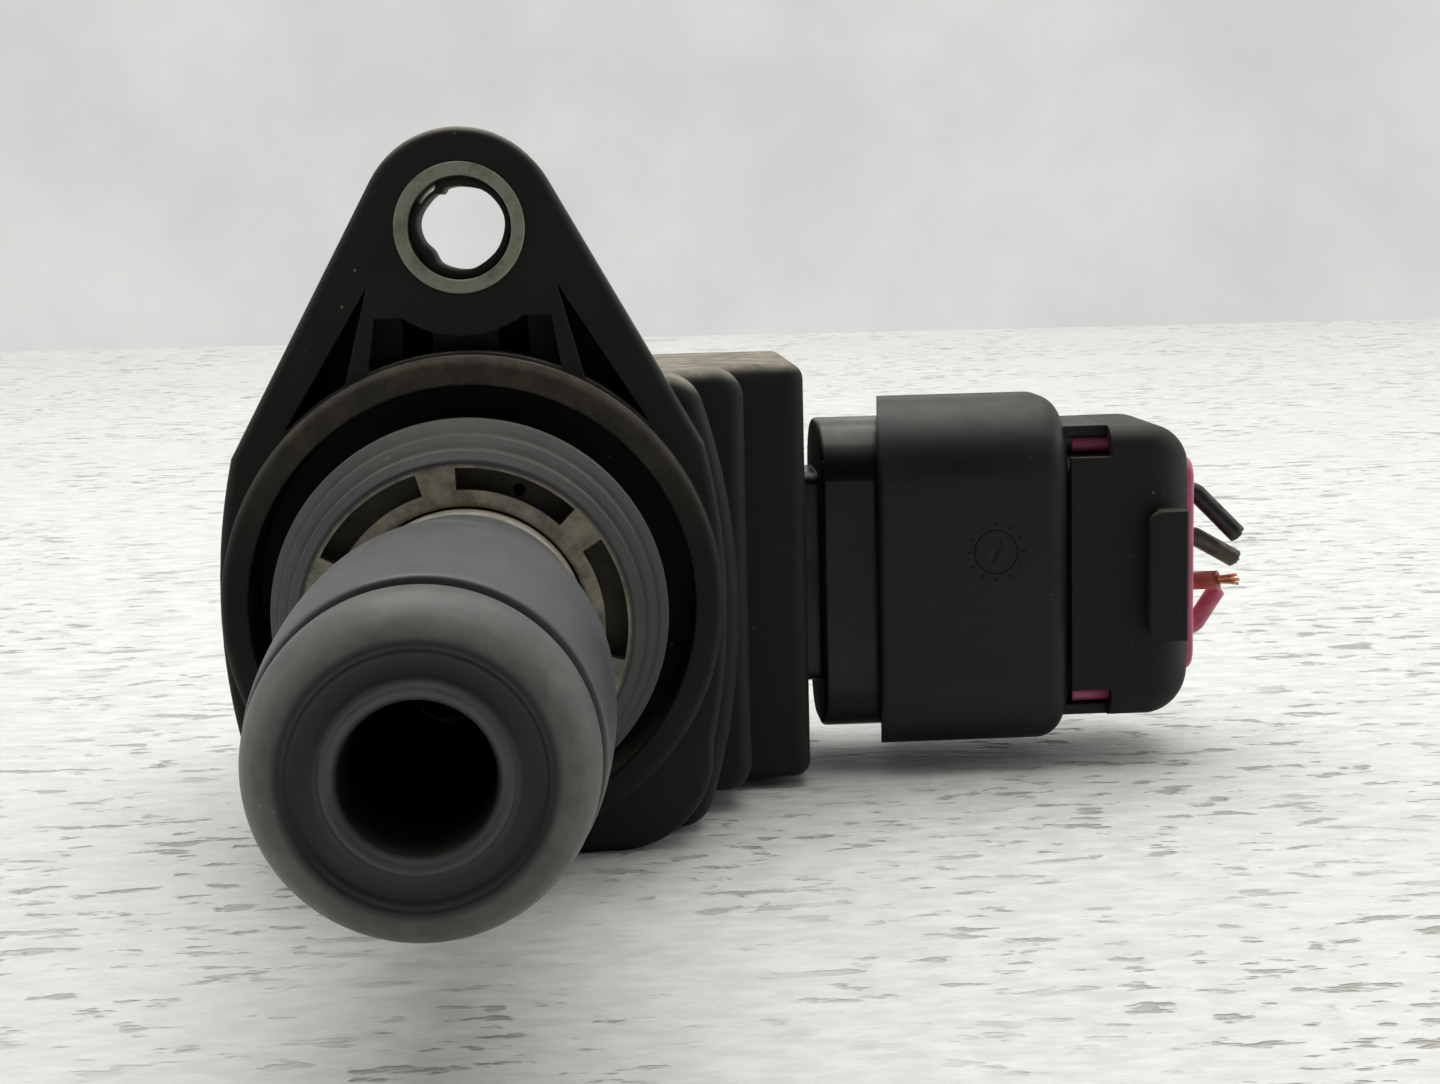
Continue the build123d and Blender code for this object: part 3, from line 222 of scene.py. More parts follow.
class Effects:
    """The shared effects. Each node group is made once and reused."""

    made: dict[str, bpy.types.NodeTree] = {}

    @classmethod
    def group(
        cls,
        name: str,
        inputs: dict[str, float],
        outputs: tuple[str, ...],
        build: Callable[[Graph, dict[str, Socket]], dict[str, Socket]],
    ) -> bpy.types.NodeTree:
        """Makes a node group, or gives the one made before.

        Args:
            name: The group's name.
            inputs: The inputs' names and first values.
            outputs: The outputs' names, of which Normal is a vector.
            build: Adds the nodes, and gives the socket for each output.

        Returns:
            The node group.
        """
        if name in cls.made:
            return cls.made[name]
        tree = bpy.data.node_groups.new(name, "ShaderNodeTree")
        for title, value in inputs.items():
            socket = tree.interface.new_socket(title, in_out="INPUT", socket_type="NodeSocketFloat")
            socket.default_value = value
        for title in outputs:
            kind = "NodeSocketVector" if title == "Normal" else "NodeSocketFloat"
            tree.interface.new_socket(title, in_out="OUTPUT", socket_type=kind)
        graph = Graph(tree)
        entry = graph.node("NodeGroupInput")
        sockets = build(graph, {title: entry.outputs[title] for title in inputs})
        graph.node("NodeGroupOutput", {title: sockets[title] for title in outputs})
        cls.made[name] = tree
        return tree

    @classmethod
    def grain(cls) -> bpy.types.NodeTree:
        """The fine texture of a mould and the slow change of shade across a moulding."""

        def build(graph: Graph, given: dict[str, Socket]) -> dict[str, Socket]:
            """Adds the nodes."""
            place = graph.place()
            fine = graph.noise(place, given["Fine"], 2.0, 0.6)
            pits = graph.cells(place, given["Fine"])
            height = graph.plus(graph.times(fine, 0.7), graph.times(pits, 0.3))
            return {"Height": height, "Mottle": graph.noise(place, given["Broad"], 4.0, 0.6)}

        return cls.group("mould_grain", {"Fine": 3000.0, "Broad": 120.0}, ("Height", "Mottle"), build)

    @classmethod
    def dust(cls) -> bpy.types.NodeTree:
        """Dust that lies on what faces up, and loose specks all over."""

        def build(graph: Graph, given: dict[str, Socket]) -> dict[str, Socket]:
            """Adds the nodes."""
            place = graph.place()
            patches = graph.fade(graph.noise(place, 420.0, 6.0, 0.7), 0.12, 0.8, 0.1, 1.0)
            settled = graph.times(graph.fade(graph.facing(Along.Z), 0.35, 1.0), patches)
            thin = graph.fade(graph.noise(place, 310.0, 2.0), 0.58, 0.7)
            specks = graph.times(graph.fade(graph.cells(place, 900.0), 0.14, 0.05), thin)
            return {
                "Settled": graph.times(settled, given["Amount"], clamp=True),
                "Specks": graph.times(specks, given["Specks"], clamp=True),
            }

        return cls.group("settled_dust", {"Amount": 0.3, "Specks": 0.3}, ("Settled", "Specks"), build)

    @classmethod
    def scuffs(cls) -> bpy.types.NodeTree:
        """Fine scratches in two directions, with gaps between them."""

        def build(graph: Graph, given: dict[str, Socket]) -> dict[str, Socket]:
            """Adds the nodes."""
            place = graph.place()
            first = graph.noise(graph.stretched(place, (60, 900, 1400), (0.5, 0.2, 0.7)), 1.0, 2.0, 0.4)
            second = graph.noise(graph.stretched(place, (1300, 90, 800), (-0.4, 0.9, 0.3)), 1.0, 2.0, 0.4)
            lines = graph.larger(graph.fade(first, 0.66, 0.72), graph.fade(second, 0.67, 0.73))
            where = graph.fade(graph.noise(place, 90.0, 2.0), 0.45, 0.62)
            return {"Mask": graph.times(graph.times(lines, where), given["Amount"], clamp=True)}

        return cls.group("scuffs", {"Amount": 0.5}, ("Mask",), build)

    @classmethod
    def edges(cls) -> bpy.types.NodeTree:
        """Slightly rounded edges, and a mask of where they are rubbed."""

        def build(graph: Graph, given: dict[str, Socket]) -> dict[str, Socket]:
            """Adds the nodes."""
            rounded = graph.node("ShaderNodeBevel", {"Radius": given["Radius"]}, samples=4).outputs[0]
            sharp = graph.node("ShaderNodeNewGeometry").outputs["Normal"]
            dot = graph.node("ShaderNodeVectorMath", {0: rounded, 1: sharp}, operation="DOT_PRODUCT")
            bend = graph.minus(1.0, dot.outputs["Value"])
            broken = graph.fade(graph.noise(graph.place(), 420.0, 4.0, 0.7), 0.35, 0.7, 0.25, 1.0)
            return {"Mask": graph.times(graph.fade(bend, 0.02, 0.2), broken), "Normal": rounded}

        return cls.group("rubbed_edges", {"Radius": 0.0003}, ("Mask", "Normal"), build)

    @classmethod
    def turning(cls) -> bpy.types.NodeTree:
        """Where a point is about an axis along Y: its radius and its depth, in metres."""

        def build(graph: Graph, given: dict[str, Socket]) -> dict[str, Socket]:
            """Adds the nodes."""
            parts = graph.parts(graph.place())
            height = graph.minus(parts["Z"], given["Centre Height"])
            flat = graph.node("ShaderNodeCombineXYZ", {0: parts["X"], 1: height})
            length = graph.node("ShaderNodeVectorMath", {0: flat.outputs[0]}, operation="LENGTH")
            return {"Radius": length.outputs["Value"], "Depth": parts["Y"]}

        return cls.group("round_the_axis", {"Centre Height": 0.0}, ("Radius", "Depth"), build)


# ---- finishes -------------------------------------------------------------------------------
@dataclass(frozen=True)
class Finish:
    """A finish of one material slot.

    Attributes:
        slot: The slot's name, which is the material's name too.
        colour: The main colour.
    """

    slot: str
    colour: Colour

    def build(self) -> bpy.types.Material:
        """Makes the material, with the finish's look on its shader."""
        material = bpy.data.materials.new(self.slot)
        material.use_nodes = True
        material.node_tree.nodes.clear()
        graph = Graph(material.node_tree)
        shader = graph.node("ShaderNodeBsdfPrincipled", self.look(graph))
        graph.node("ShaderNodeOutputMaterial", {"Surface": shader.outputs[0]})
        material.diffuse_color = rgba(self.colour)
        return material

    def look(self, graph: Graph) -> Look:
        """Gives the shader's inputs by name. Each kind of finish has its own."""
        raise NotImplementedError

    def shades(self, graph: Graph, share: Value, dark: float, light: float) -> Socket:
        """Mixes two shades of the main colour by the share of the lighter."""
        return graph.mix(share, rgba(self.colour, dark), rgba(self.colour, light))


@dataclass(frozen=True)
class Moulded(Finish):
    """A moulded plastic: fine grain, rubbed edges, scuffs, and dust on top.

    Attributes:
        gloss: How shiny it is.
        fine: Grains per metre.
        depth: How deep the grain is, in metres.
        edge: How much the edges are rubbed.
        edge_colour: The colour of a rubbed edge.
        scuffs: How scuffed it is.
        dust: How much dust lies on it.
        specular: The level of its plain reflection.
        radius: The radius that its edges are rounded to, in metres.
        dull_end: How much rougher the dusty end towards the block is.
        painted_shade_root: X up to which the piece is darkened with painted shade, in metres, or 0.
    """

    gloss: Gloss = Gloss.MATT
    fine: float = 3200.0
    depth: float = 0.000018
    edge: float = 0.35
    edge_colour: Colour = (0.09, 0.09, 0.088)
    scuffs: float = 0.35
    dust: float = 0.35
    specular: float = 0.4
    radius: float = 0.25 * MM
    dull_end: float = 0.0
    painted_shade_root: float = 0.0

    def look(self, graph: Graph) -> Look:
        """Gives the shader's inputs by name."""
        grain = graph.effect(Effects.grain(), Fine=self.fine, Broad=140.0)
        dust = graph.effect(Effects.dust(), Amount=self.dust, Specks=0.5)
        scuffs = graph.effect(Effects.scuffs(), Amount=self.scuffs)
        edges = graph.effect(Effects.edges(), Radius=self.radius)
        worn = graph.times(edges["Mask"], self.edge, clamp=True)
        shade = graph.fade(grain["Mottle"], 0.3, 0.7)
        colour = self.shades(graph, shade, 0.82, 1.2)
        colour = graph.mix(scuffs["Mask"], colour, rgba(self.colour, 2.6))
        colour = graph.mix(worn, colour, rgba(self.edge_colour))
        # Painted shade on the piece's root, which lies between the block and the socket.
        if self.painted_shade_root:
            root = graph.fade(graph.axis(Along.X), self.painted_shade_root, self.painted_shade_root - 0.2 * MM)
            colour = graph.mix(root, colour, PAINTED_SHADE)
        dirty = graph.larger(dust["Settled"], dust["Specks"])
        rough = graph.fade(shade, 0.0, 1.0, self.gloss.value - 0.05, self.gloss.value + 0.06)
        rough = graph.plus(rough, graph.times(dirty, 0.3), clamp=True)
        rough = graph.minus(rough, graph.times(worn, 0.12), clamp=True)
        if self.dull_end:
            end = graph.fade(graph.facing(Along.X), -0.5, -0.95)
            rough = graph.plus(rough, graph.times(end, self.dull_end), clamp=True)
        height = graph.minus(grain["Height"], graph.times(scuffs["Mask"], 0.8))
        height = graph.plus(height, dust["Specks"])
        return {
            "Base Color": graph.mix(dirty, colour, DUST),
            "Roughness": rough,
            "Normal": graph.bump(height, self.depth, 0.55, edges["Normal"]),
            "Specular IOR Level": self.specular,
        }


@dataclass(frozen=True)
class HousingPlastic(Moulded):
    """The coil housing's plastic: grime with painted light and shade on the collar's face, and dust and
    painted light behind the seal's slots.

    Attributes:
        grime: The colour of the baked dust on the collar, laid on most at the top as painted light; lower
            down the face is painted shade.
        collar: The collar's outer radius.
        spigot_dust_and_light: The colour of the dust and painted light on the spigot's face, which lies in
            shade behind the seal's slots.
        spigot: The spigot's radius and the Y of its face.
    """

    grime: Colour = (0.068, 0.055, 0.038)
    collar: float = 20.2 * MM
    spigot_dust_and_light: Colour = (0.13, 0.112, 0.085)
    spigot: tuple[float, float] = (12.6 * MM, -6.2 * MM)

    def look(self, graph: Graph) -> Look:
        """Adds the collar's grime with painted light and shade, and the spigot's dust and painted light."""
        plain = super().look(graph)
        where = graph.effect(Effects.turning(), Centre_Height=0.0)
        inside = graph.fade(where["Radius"], self.collar + 0.6 * MM, self.collar - 0.4 * MM)
        front = graph.fade(where["Depth"], 1.6 * MM, 0.4 * MM)
        cloud = graph.fade(graph.noise(graph.place(), 330.0, 5.0, 0.7), 0.32, 0.68, 0.35, 1.0)
        # Painted light and shade: the collar's face is lit brown towards the top and painted dark lower down.
        lit_top = graph.fade(graph.axis(Along.Z), 2.0 * MM, 18.0 * MM)
        shade = graph.mix(graph.times(cloud, lit_top), PAINTED_SHADE, rgba(self.grime))
        grime_light_and_shade = graph.mix(graph.times(graph.times(inside, front), 0.9), plain["Base Color"], shade)
        # Dust and painted light: the spigot's face, in shade behind the seal's slots, is painted much
        # lighter.
        radius, face = self.spigot
        core = graph.fade(where["Radius"], radius + 0.2 * MM, radius)
        shallow = graph.fade(where["Depth"], face + 0.7 * MM, face + 0.2 * MM)
        dusty = graph.times(graph.times(core, shallow), graph.fade(cloud, 0.0, 1.0, 0.55, 1.0))
        return plain | {"Base Color": graph.mix(dusty, grime_light_and_shade, rgba(self.spigot_dust_and_light))}


@dataclass(frozen=True)
class Band:
    """A band round the boot's axis, with soft borders, that holds dust, a painted highlight or painted shade.

    Attributes:
        inner: Its inner radius, in millimetres.
        outer: Its outer radius, in millimetres.
        near: Y of its side towards the open tip, in millimetres.
        far: Y of its other side, in millimetres.
        share: How strong it is.
    """

    inner: float
    outer: float
    near: float
    far: float
    share: float

    def mask(self, graph: Graph, where: dict[str, Socket]) -> Socket:
        """Masks the band.

        Args:
            graph: The material's graph.
            where: The outputs of the turning effect.

        Returns:
            The socket with the mask.
        """
        side, end = 0.2, 0.3
        radius, depth = where["Radius"], where["Depth"]
        radial = graph.fade(radius, (self.inner - side) * MM, (self.inner + side) * MM, 0.0, self.share)
        radial = graph.times(radial, graph.fade(radius, (self.outer + side) * MM, (self.outer - side) * MM))
        deep = graph.fade(depth, (self.near - end) * MM, self.near * MM)
        deep = graph.times(deep, graph.fade(depth, (self.far + end) * MM, self.far * MM))
        return graph.times(radial, deep)


@dataclass(frozen=True)
class Silicone(Finish):
    """A soft rubber: satin skin, faint mould rings, dust that clings where it is never wiped, painted
    highlights and painted shade.

    Attributes:
        gloss: How shiny it is.
        dust_and_highlight_rings: Bands that hold dust; those on the boot's inner lip and tip rounding are
            mostly painted highlights.
        painted_shade_rings: Bands of painted shade.
        rings: How strong the faint turned rings are.
        dust: How much dust lies on top.
        shadow: How dark the painted shade on the underside is, from 0 to 1.
    """

    gloss: Gloss = Gloss.SATIN
    dust_and_highlight_rings: tuple[Band, ...] = ()
    painted_shade_rings: tuple[Band, ...] = ()
    rings: float = 0.3
    dust: float = 0.12
    shadow: float = 0.0

    def look(self, graph: Graph) -> Look:
        """Gives the shader's inputs by name."""
        grain = graph.effect(Effects.grain(), Fine=2400.0, Broad=85.0)
        dust = graph.effect(Effects.dust(), Amount=self.dust, Specks=0.35)
        where = graph.effect(Effects.turning(), Centre_Height=0.0)
        shade = graph.fade(grain["Mottle"], 0.28, 0.72)
        colour = self.shades(graph, shade, 0.84, 1.16)
        smears = graph.noise(graph.stretched(graph.place(), (500, 60, 500)), 1.0, 4.0, 0.6)
        colour = graph.mix(graph.fade(smears, 0.5, 0.78, 0.0, 0.35), colour, rgba(self.colour, 1.7))
        # Painted shade, darker towards the bottom.
        under = graph.fade(graph.axis(Along.Z), 4.0 * MM, -9.0 * MM, 0.0, self.shadow)
        colour = graph.mix(under, colour, PAINTED_SHADE)
        # Painted shade in bands.
        for ring in self.painted_shade_rings:
            colour = graph.mix(ring.mask(graph, where), colour, PAINTED_SHADE)
        dirty = graph.larger(dust["Settled"], dust["Specks"])
        cloud = graph.fade(graph.noise(graph.place(), 450.0, 6.0, 0.7), 0.3, 0.7, 0.3, 1.0)
        # Dust bands, some of them painted highlights.
        for ring in self.dust_and_highlight_rings:
            dirty = graph.larger(dirty, graph.times(ring.mask(graph, where), cloud))
        rough = graph.fade(shade, 0.0, 1.0, self.gloss.value - 0.06, self.gloss.value + 0.08)
        turned = graph.maths("SINE", graph.times(where["Depth"], 9000.0))
        height = graph.plus(grain["Height"], graph.times(turned, self.rings))
        height = graph.plus(height, graph.times(dirty, 0.8))
        return {
            "Base Color": graph.mix(dirty, colour, DUST),
            "Roughness": graph.plus(rough, graph.times(dirty, 0.35), clamp=True),
            "Normal": graph.bump(height, 0.02 * MM, 0.4),
            "Specular IOR Level": 0.45,
        }


@dataclass(frozen=True)
class Metal(Finish):
    """A bare or plated metal with lathe lines, stains and dull patches.

    Attributes:
        rough: The roughness where it is bright.
        stain: The colour of the stains.
        stains: How much of it is stained.
        lines: Lathe or drawing lines per metre.
        round_at: Height of the axis that the lines go round, or None for straight lines.
        along: The direction that straight lines are counted in.
        metallic: How metallic the bright parts are.
    """

    rough: float = 0.35
    stain: Colour = (0.10, 0.085, 0.06)
    stains: float = 0.5
    lines: float = 5200.0
    round_at: float | None = None
    along: Along = Along.X
    metallic: float = 1.0

    def look(self, graph: Graph) -> Look:
        """Gives the shader's inputs by name."""
        grain = graph.effect(Effects.grain(), Fine=3600.0, Broad=420.0)
        scuffs = graph.effect(Effects.scuffs(), Amount=0.6)
        edges = graph.effect(Effects.edges(), Radius=0.2 * MM)
        if self.round_at is None:
            across = graph.axis(self.along)
        else:
            across = graph.effect(Effects.turning(), Centre_Height=self.round_at)["Radius"]
        lines = graph.maths("SINE", graph.times(across, self.lines * math.tau))
        broken = graph.times(lines, grain["Mottle"])
        stained = graph.times(graph.fade(grain["Mottle"], 0.42, 0.66), self.stains, clamp=True)
        colour = self.shades(graph, scuffs["Mask"], 1.0, 1.35)
        colour = graph.mix(stained, colour, rgba(self.stain))
        height = graph.plus(grain["Height"], graph.times(broken, 0.7))
        return {
            "Base Color": graph.mix(graph.times(edges["Mask"], 0.5), colour, rgba(self.colour, 1.5)),
            "Metallic": graph.fade(stained, 0.0, 1.0, self.metallic, 0.25),
            "Roughness": graph.fade(stained, 0.0, 0.9, self.rough, 0.72),
            "Normal": graph.bump(height, 0.01 * MM, 0.5, edges["Normal"]),
        }


@dataclass(frozen=True)
class Layers(Finish):
    """Sheets or turns side by side: stacked laminations, or enamelled wire on a bobbin.

    Attributes:
        gap_colour: The colour between two layers.
        pitch: The thickness of one layer.
        along: The direction that the layers are counted in.
        rough: The roughness of a layer.
    """

    gap_colour: Colour = (0.03, 0.028, 0.025)
    pitch: float = 0.5 * MM
    along: Along = Along.Y
    rough: float = 0.42

    def look(self, graph: Graph) -> Look:
        """Gives the shader's inputs by name."""
        grain = graph.effect(Effects.grain(), Fine=3000.0, Broad=260.0)
        turns = graph.times(graph.axis(self.along), math.tau / self.pitch)
        wave = graph.plus(graph.times(graph.maths("SINE", turns), 0.5), 0.5)
        gap = graph.fade(wave, 0.3, 0.02)
        shade = self.shades(graph, graph.fade(grain["Mottle"], 0.3, 0.7), 0.75, 1.2)
        height = graph.plus(wave, graph.times(grain["Height"], 0.2))
        return {
            "Base Color": graph.mix(gap, shade, rgba(self.gap_colour)),
            "Metallic": graph.fade(gap, 0.0, 1.0, 1.0, 0.2),
            "Roughness": graph.fade(gap, 0.0, 1.0, self.rough, 0.75),
            "Normal": graph.bump(height, self.pitch * 0.25, 0.7),
        }


@dataclass(frozen=True)
class CastResin(Finish):
    """Casting resin: a flat glossy skin with sink marks, small bubbles and dust."""

    def look(self, graph: Graph) -> Look:
        """Gives the shader's inputs by name."""
        place = graph.place()
        dust = graph.effect(Effects.dust(), Amount=0.25, Specks=0.8)
        sink = graph.noise(place, 70.0, 2.0, 0.4)
        some = graph.fade(graph.noise(place, 150.0, 1.0), 0.56, 0.64)
        bubbles = graph.times(graph.fade(graph.cells(place, 300.0), 0.2, 0.1), some)
        film = graph.fade(graph.noise(place, 190.0, 5.0, 0.65), 0.4, 0.75)
        colour = graph.mix(bubbles, self.shades(graph, film, 0.9, 2.2), rgba(self.colour, 0.4))
        dirty = graph.larger(dust["Specks"], graph.times(film, 0.06))
        height = graph.minus(graph.times(sink, 3.0), bubbles)
        return {
            "Base Color": graph.mix(dirty, colour, DUST),
            "Roughness": graph.fade(film, 0.0, 1.0, 0.18, 0.42),
            "Normal": graph.bump(height, 0.12 * MM, 0.6),
        }


@dataclass(frozen=True)
class Board(Finish):
    """A circuit board: solder mask over copper tracks on glass cloth."""

    def look(self, graph: Graph) -> Look:
        """Gives the shader's inputs by name."""
        place = graph.place()
        inputs = {
            "Vector": graph.stretched(place, (0.0, 420.0, 420.0)), "Scale": 1.0, "Mortar Size": 0.09,
            "Color1": rgba(self.colour, 0.7), "Color2": rgba(self.colour, 0.9),
            "Mortar": rgba(self.colour, 2.0),
        }
        tracks = graph.node("ShaderNodeTexBrick", inputs)
        cloth = graph.noise(graph.stretched(place, (2500, 2500, 2500)), 1.0, 1.0)
        share = graph.fade(cloth, 0.4, 0.6, 0.0, 0.25)
        return {
            "Base Color": graph.mix(share, tracks.outputs[0], rgba(self.colour, 1.6)),
            "Roughness": graph.fade(cloth, 0.3, 0.7, 0.28, 0.4),
            "Normal": graph.bump(tracks.outputs[1], 0.03 * MM, 0.5),
        }


@dataclass(frozen=True)
class CappedCeramic(Finish):
    """A glazed ceramic rod with a pressed metal cap at each end.

    Attributes:
        cap_colour: The caps' metal.
        caps: Y of the caps' inner edges.
    """

    cap_colour: Colour = (0.6, 0.58, 0.5)
    caps: tuple[float, float] = (-7.0 * MM, 3.0 * MM)

    def look(self, graph: Graph) -> Look:
        """Gives the shader's inputs by name."""
        grain = graph.effect(Effects.grain(), Fine=2600.0, Broad=300.0)
        along = graph.axis(Along.Y)
        front, back = self.caps
        border = 0.05 * MM
        metal = graph.larger(
            graph.fade(along, front + border, front - border),
            graph.fade(along, back - border, back + border),
        )
        glaze = self.shades(graph, grain["Mottle"], 0.85, 1.0)
        return {
            "Base Color": graph.mix(metal, glaze, rgba(self.cap_colour)),
            "Metallic": metal,
            "Roughness": graph.fade(grain["Mottle"], 0.3, 0.7, 0.22, 0.38),
            "Normal": graph.bump(grain["Height"], 0.02 * MM, 0.3),
        }


@dataclass(frozen=True)
class Insulation(Finish):
    """Extruded wire insulation: a soft skin with draw lines, and grime.

    Attributes:
        grime: How dirty it is.
    """

    grime: float = 0.35

    def look(self, graph: Graph) -> Look:
        """Gives the shader's inputs by name."""
        grain = graph.effect(Effects.grain(), Fine=4200.0, Broad=600.0)
        dust = graph.effect(Effects.dust(), Amount=0.2, Specks=0.7)
        drawn = graph.noise(graph.stretched(graph.place(), (300, 3200, 3200)), 1.0, 2.0)
        colour = self.shades(graph, graph.fade(grain["Mottle"], 0.3, 0.7), 0.7, 1.25)
        dirty = graph.fade(graph.noise(graph.place(), 900.0, 5.0, 0.7), 0.45, 0.75, 0.0, self.grime)
        colour = graph.mix(dirty, colour, (0.045, 0.035, 0.025, 1.0))
        height = graph.plus(drawn, graph.times(grain["Height"], 0.5))
        return {
            "Base Color": graph.mix(dust["Specks"], colour, DUST),
            "Roughness": graph.fade(dirty, 0.0, 0.4, 0.36, 0.66),
            "Normal": graph.bump(height, 0.03 * MM, 0.45),
        }


@dataclass(frozen=True)
class PaintedBoard(Finish):
    """The white board under the coil: paint over open grain, with short streaks and specks."""

    def look(self, graph: Graph) -> Look:
        """Gives the shader's inputs by name."""
        place = graph.place()
        pores = graph.noise(graph.stretched(place, (210, 620, 620)), 1.0, 3.0, 0.6)
        some = graph.noise(place, 34.0, 3.0)
        pits = graph.times(graph.fade(pores, 0.57, 0.67), graph.fade(some, 0.32, 0.58))
        ripple = graph.noise(graph.stretched(place, (260, 700, 700)), 1.0, 5.0, 0.65)
        broad = graph.fade(graph.noise(place, 11.0, 3.0), 0.35, 0.7, 0.0, 0.4)
        colour = self.shades(graph, graph.fade(ripple, 0.3, 0.7), 0.86, 1.06)
        colour = graph.mix(broad, colour, rgba(self.colour, 0.9))
        height = graph.minus(ripple, graph.times(pits, 1.5))
        return {
            "Base Color": graph.mix(graph.times(pits, 0.7), colour, (0.30, 0.26, 0.22, 1.0)),
            "Roughness": graph.fade(ripple, 0.3, 0.7, 0.5, 0.7),
            "Normal": graph.bump(height, 0.4 * MM, 0.7),
        }


FINISHES: tuple[Finish, ...] = (
    HousingPlastic("housing_plastic", (0.0098, 0.0090, 0.0080), specular=0.27, dust=0.95, radius=0.3 * MM),
    Moulded("retainer_plastic", (0.012, 0.011, 0.010), fine=2200.0, depth=0.04 * MM, edge=0.7, specular=0.3),
    # socket_plastic: its neck between the block and the socket is darkened with painted shade.
    Moulded(
        "socket_plastic", (0.0045, 0.0045, 0.0045), gloss=Gloss.GLOSSY, fine=1400.0, depth=0.008 * MM,
        scuffs=0.5, specular=0.28, dust=0.3, dull_end=0.6, painted_shade_root=29.8 * MM,
    ),
    Moulded(
        "plug_plastic", (0.0085, 0.0085, 0.0082), gloss=Gloss.SATIN, fine=3600.0, scuffs=0.25,
        specular=0.3, dust=0.10, edge=0.2,
    ),
    Moulded("cover_plastic", (0.0098, 0.0095, 0.0088), fine=3000.0, specular=0.26, dust=0.16, edge=0.3),
    Moulded(
        "clip_plastic", (0.52, 0.10, 0.20), gloss=Gloss.SEMI, edge=0.3, edge_colour=(0.6, 0.22, 0.34),
        scuffs=0.3, specular=0.5, dust=0.1,
    ),
    Moulded("lock_plastic", (0.55, 0.56, 0.54), gloss=Gloss.SATIN, edge_colour=(0.7, 0.7, 0.68), dust=0.1),
    Moulded("bobbin_plastic", (0.30, 0.27, 0.20), edge_colour=(0.42, 0.4, 0.33), dust=0.1),
    Moulded("chip_plastic", (0.02, 0.02, 0.02), fine=2600.0, dust=0.0),
    Board("board", (0.03, 0.15, 0.07)),
    CastResin("resin", (0.015, 0.014, 0.014)),
    Metal(
        "bushing_steel", (0.36, 0.36, 0.29), rough=0.5, stain=(0.13, 0.12, 0.085), stains=0.75,
        round_at=EAR_HEIGHT, metallic=0.85,
    ),
    Layers("lamination_steel", (0.20, 0.20, 0.21)),
    Metal("spring_steel", (0.22, 0.215, 0.20), rough=0.42, stains=0.7, along=Along.Y),
    Layers("copper_wire", (0.55, 0.22, 0.09), pitch=0.6 * MM, along=Along.X, rough=0.3),
    Metal(
        "bare_copper", (0.75, 0.36, 0.19), rough=0.34, stain=(0.20, 0.09, 0.045), stains=0.7, lines=9000.0,
    ),
    Metal("brass", (0.62, 0.50, 0.24), rough=0.3, stains=0.35),
    Metal("tinned_brass", (0.62, 0.61, 0.58), rough=0.32, stains=0.3),
    CappedCeramic("ceramic", (0.72, 0.70, 0.64)),
    Silicone(
        # boot_silicone: shadow is painted shade on its underside.
        "boot_silicone", (0.043, 0.048, 0.0485), dust=0.06, shadow=0.55,
        # The first two bands are painted highlights with a little dust, on the inner lip and the tip's
        # rounding; the third holds dust.
        dust_and_highlight_rings=(
            Band(4.7, 5.4, -56.0, -53.6, 0.06), Band(7.9, 10.4, -56.0, -50.0, 0.16),
            Band(8.6, 9.5, -12.5, -6.0, 0.85),
        ),
        # Painted shade: the front annulus, the bore and the groove behind the bead.
        painted_shade_rings=(
            Band(5.6, 7.7, -56.0, -53.6, 0.95), Band(0.0, 4.7, -53.8, 0.0, 0.95),
            Band(9.4, 9.8, -49.5, -48.4, 0.7),
        ),
    ),
    Silicone(
        "seal_silicone", (0.030, 0.0325, 0.032), gloss=Gloss.MATT, rings=0.1, dust=0.2,
        dust_and_highlight_rings=(Band(9.0, 12.3, -9.5, -8.6, 0.95),),
        # Painted shade in the corners between the seal's ribs.
        painted_shade_rings=(Band(13.35, 13.75, -8.5, 0.0, 0.75), Band(14.3, 14.7, -8.5, 0.0, 0.75)),
    ),
    Silicone("small_seal_silicone", (0.45, 0.16, 0.06), rings=0.1, dust=0.05),
    Insulation("insulation_black", (0.008, 0.010, 0.008)),
    Insulation("insulation_brown", (0.045, 0.034, 0.020), grime=0.5),
    Insulation("insulation_orange", (0.46, 0.10, 0.07)),
    Insulation("insulation_magenta", (0.52, 0.12, 0.19), grime=0.2),
)


class Wardrobe:
    """Builds each finish once and dresses pieces in it."""

    def __init__(self, finishes: Iterable[Finish]) -> None:
        """Keeps the finishes by slot.

        Args:
            finishes: One finish for each material slot.
        """
        self.finishes = {finish.slot: finish for finish in finishes}
        self.built: dict[str, bpy.types.Material] = {}
        self.slot_of = {part["node"]: part["material_slot"] for part in frame["record"]["subparts"]}

    def material(self, slot: str) -> bpy.types.Material:
        """Gives the material of a slot."""
        if slot not in self.built:
            self.built[slot] = self.finishes[slot].build()
        return self.built[slot]

    def dress(self, piece: bpy.types.Object, slot: str) -> None:
        """Puts a slot's material on a piece, in place of any other."""
        piece.data.materials.clear()
        piece.data.materials.append(self.material(slot))

    def dress_nodes(self, nodes: Iterable[str]) -> None:
        """Puts on each CAD node the material of its own slot."""
        for name in nodes:
            self.dress(frame["nodes"][name], self.slot_of[name])
            LOG.info("dressed %s in %s", name, self.slot_of[name])


# ---- mesh work ------------------------------------------------------------------------------
def corners_of(edges: Edges) -> list[bmesh.types.BMVert]:
    """Gives the corners of some edges once each, sorted by place so that every run has one order."""
    return sorted({vert for edge in edges for vert in edge.verts}, key=lambda vert: tuple(vert.co))


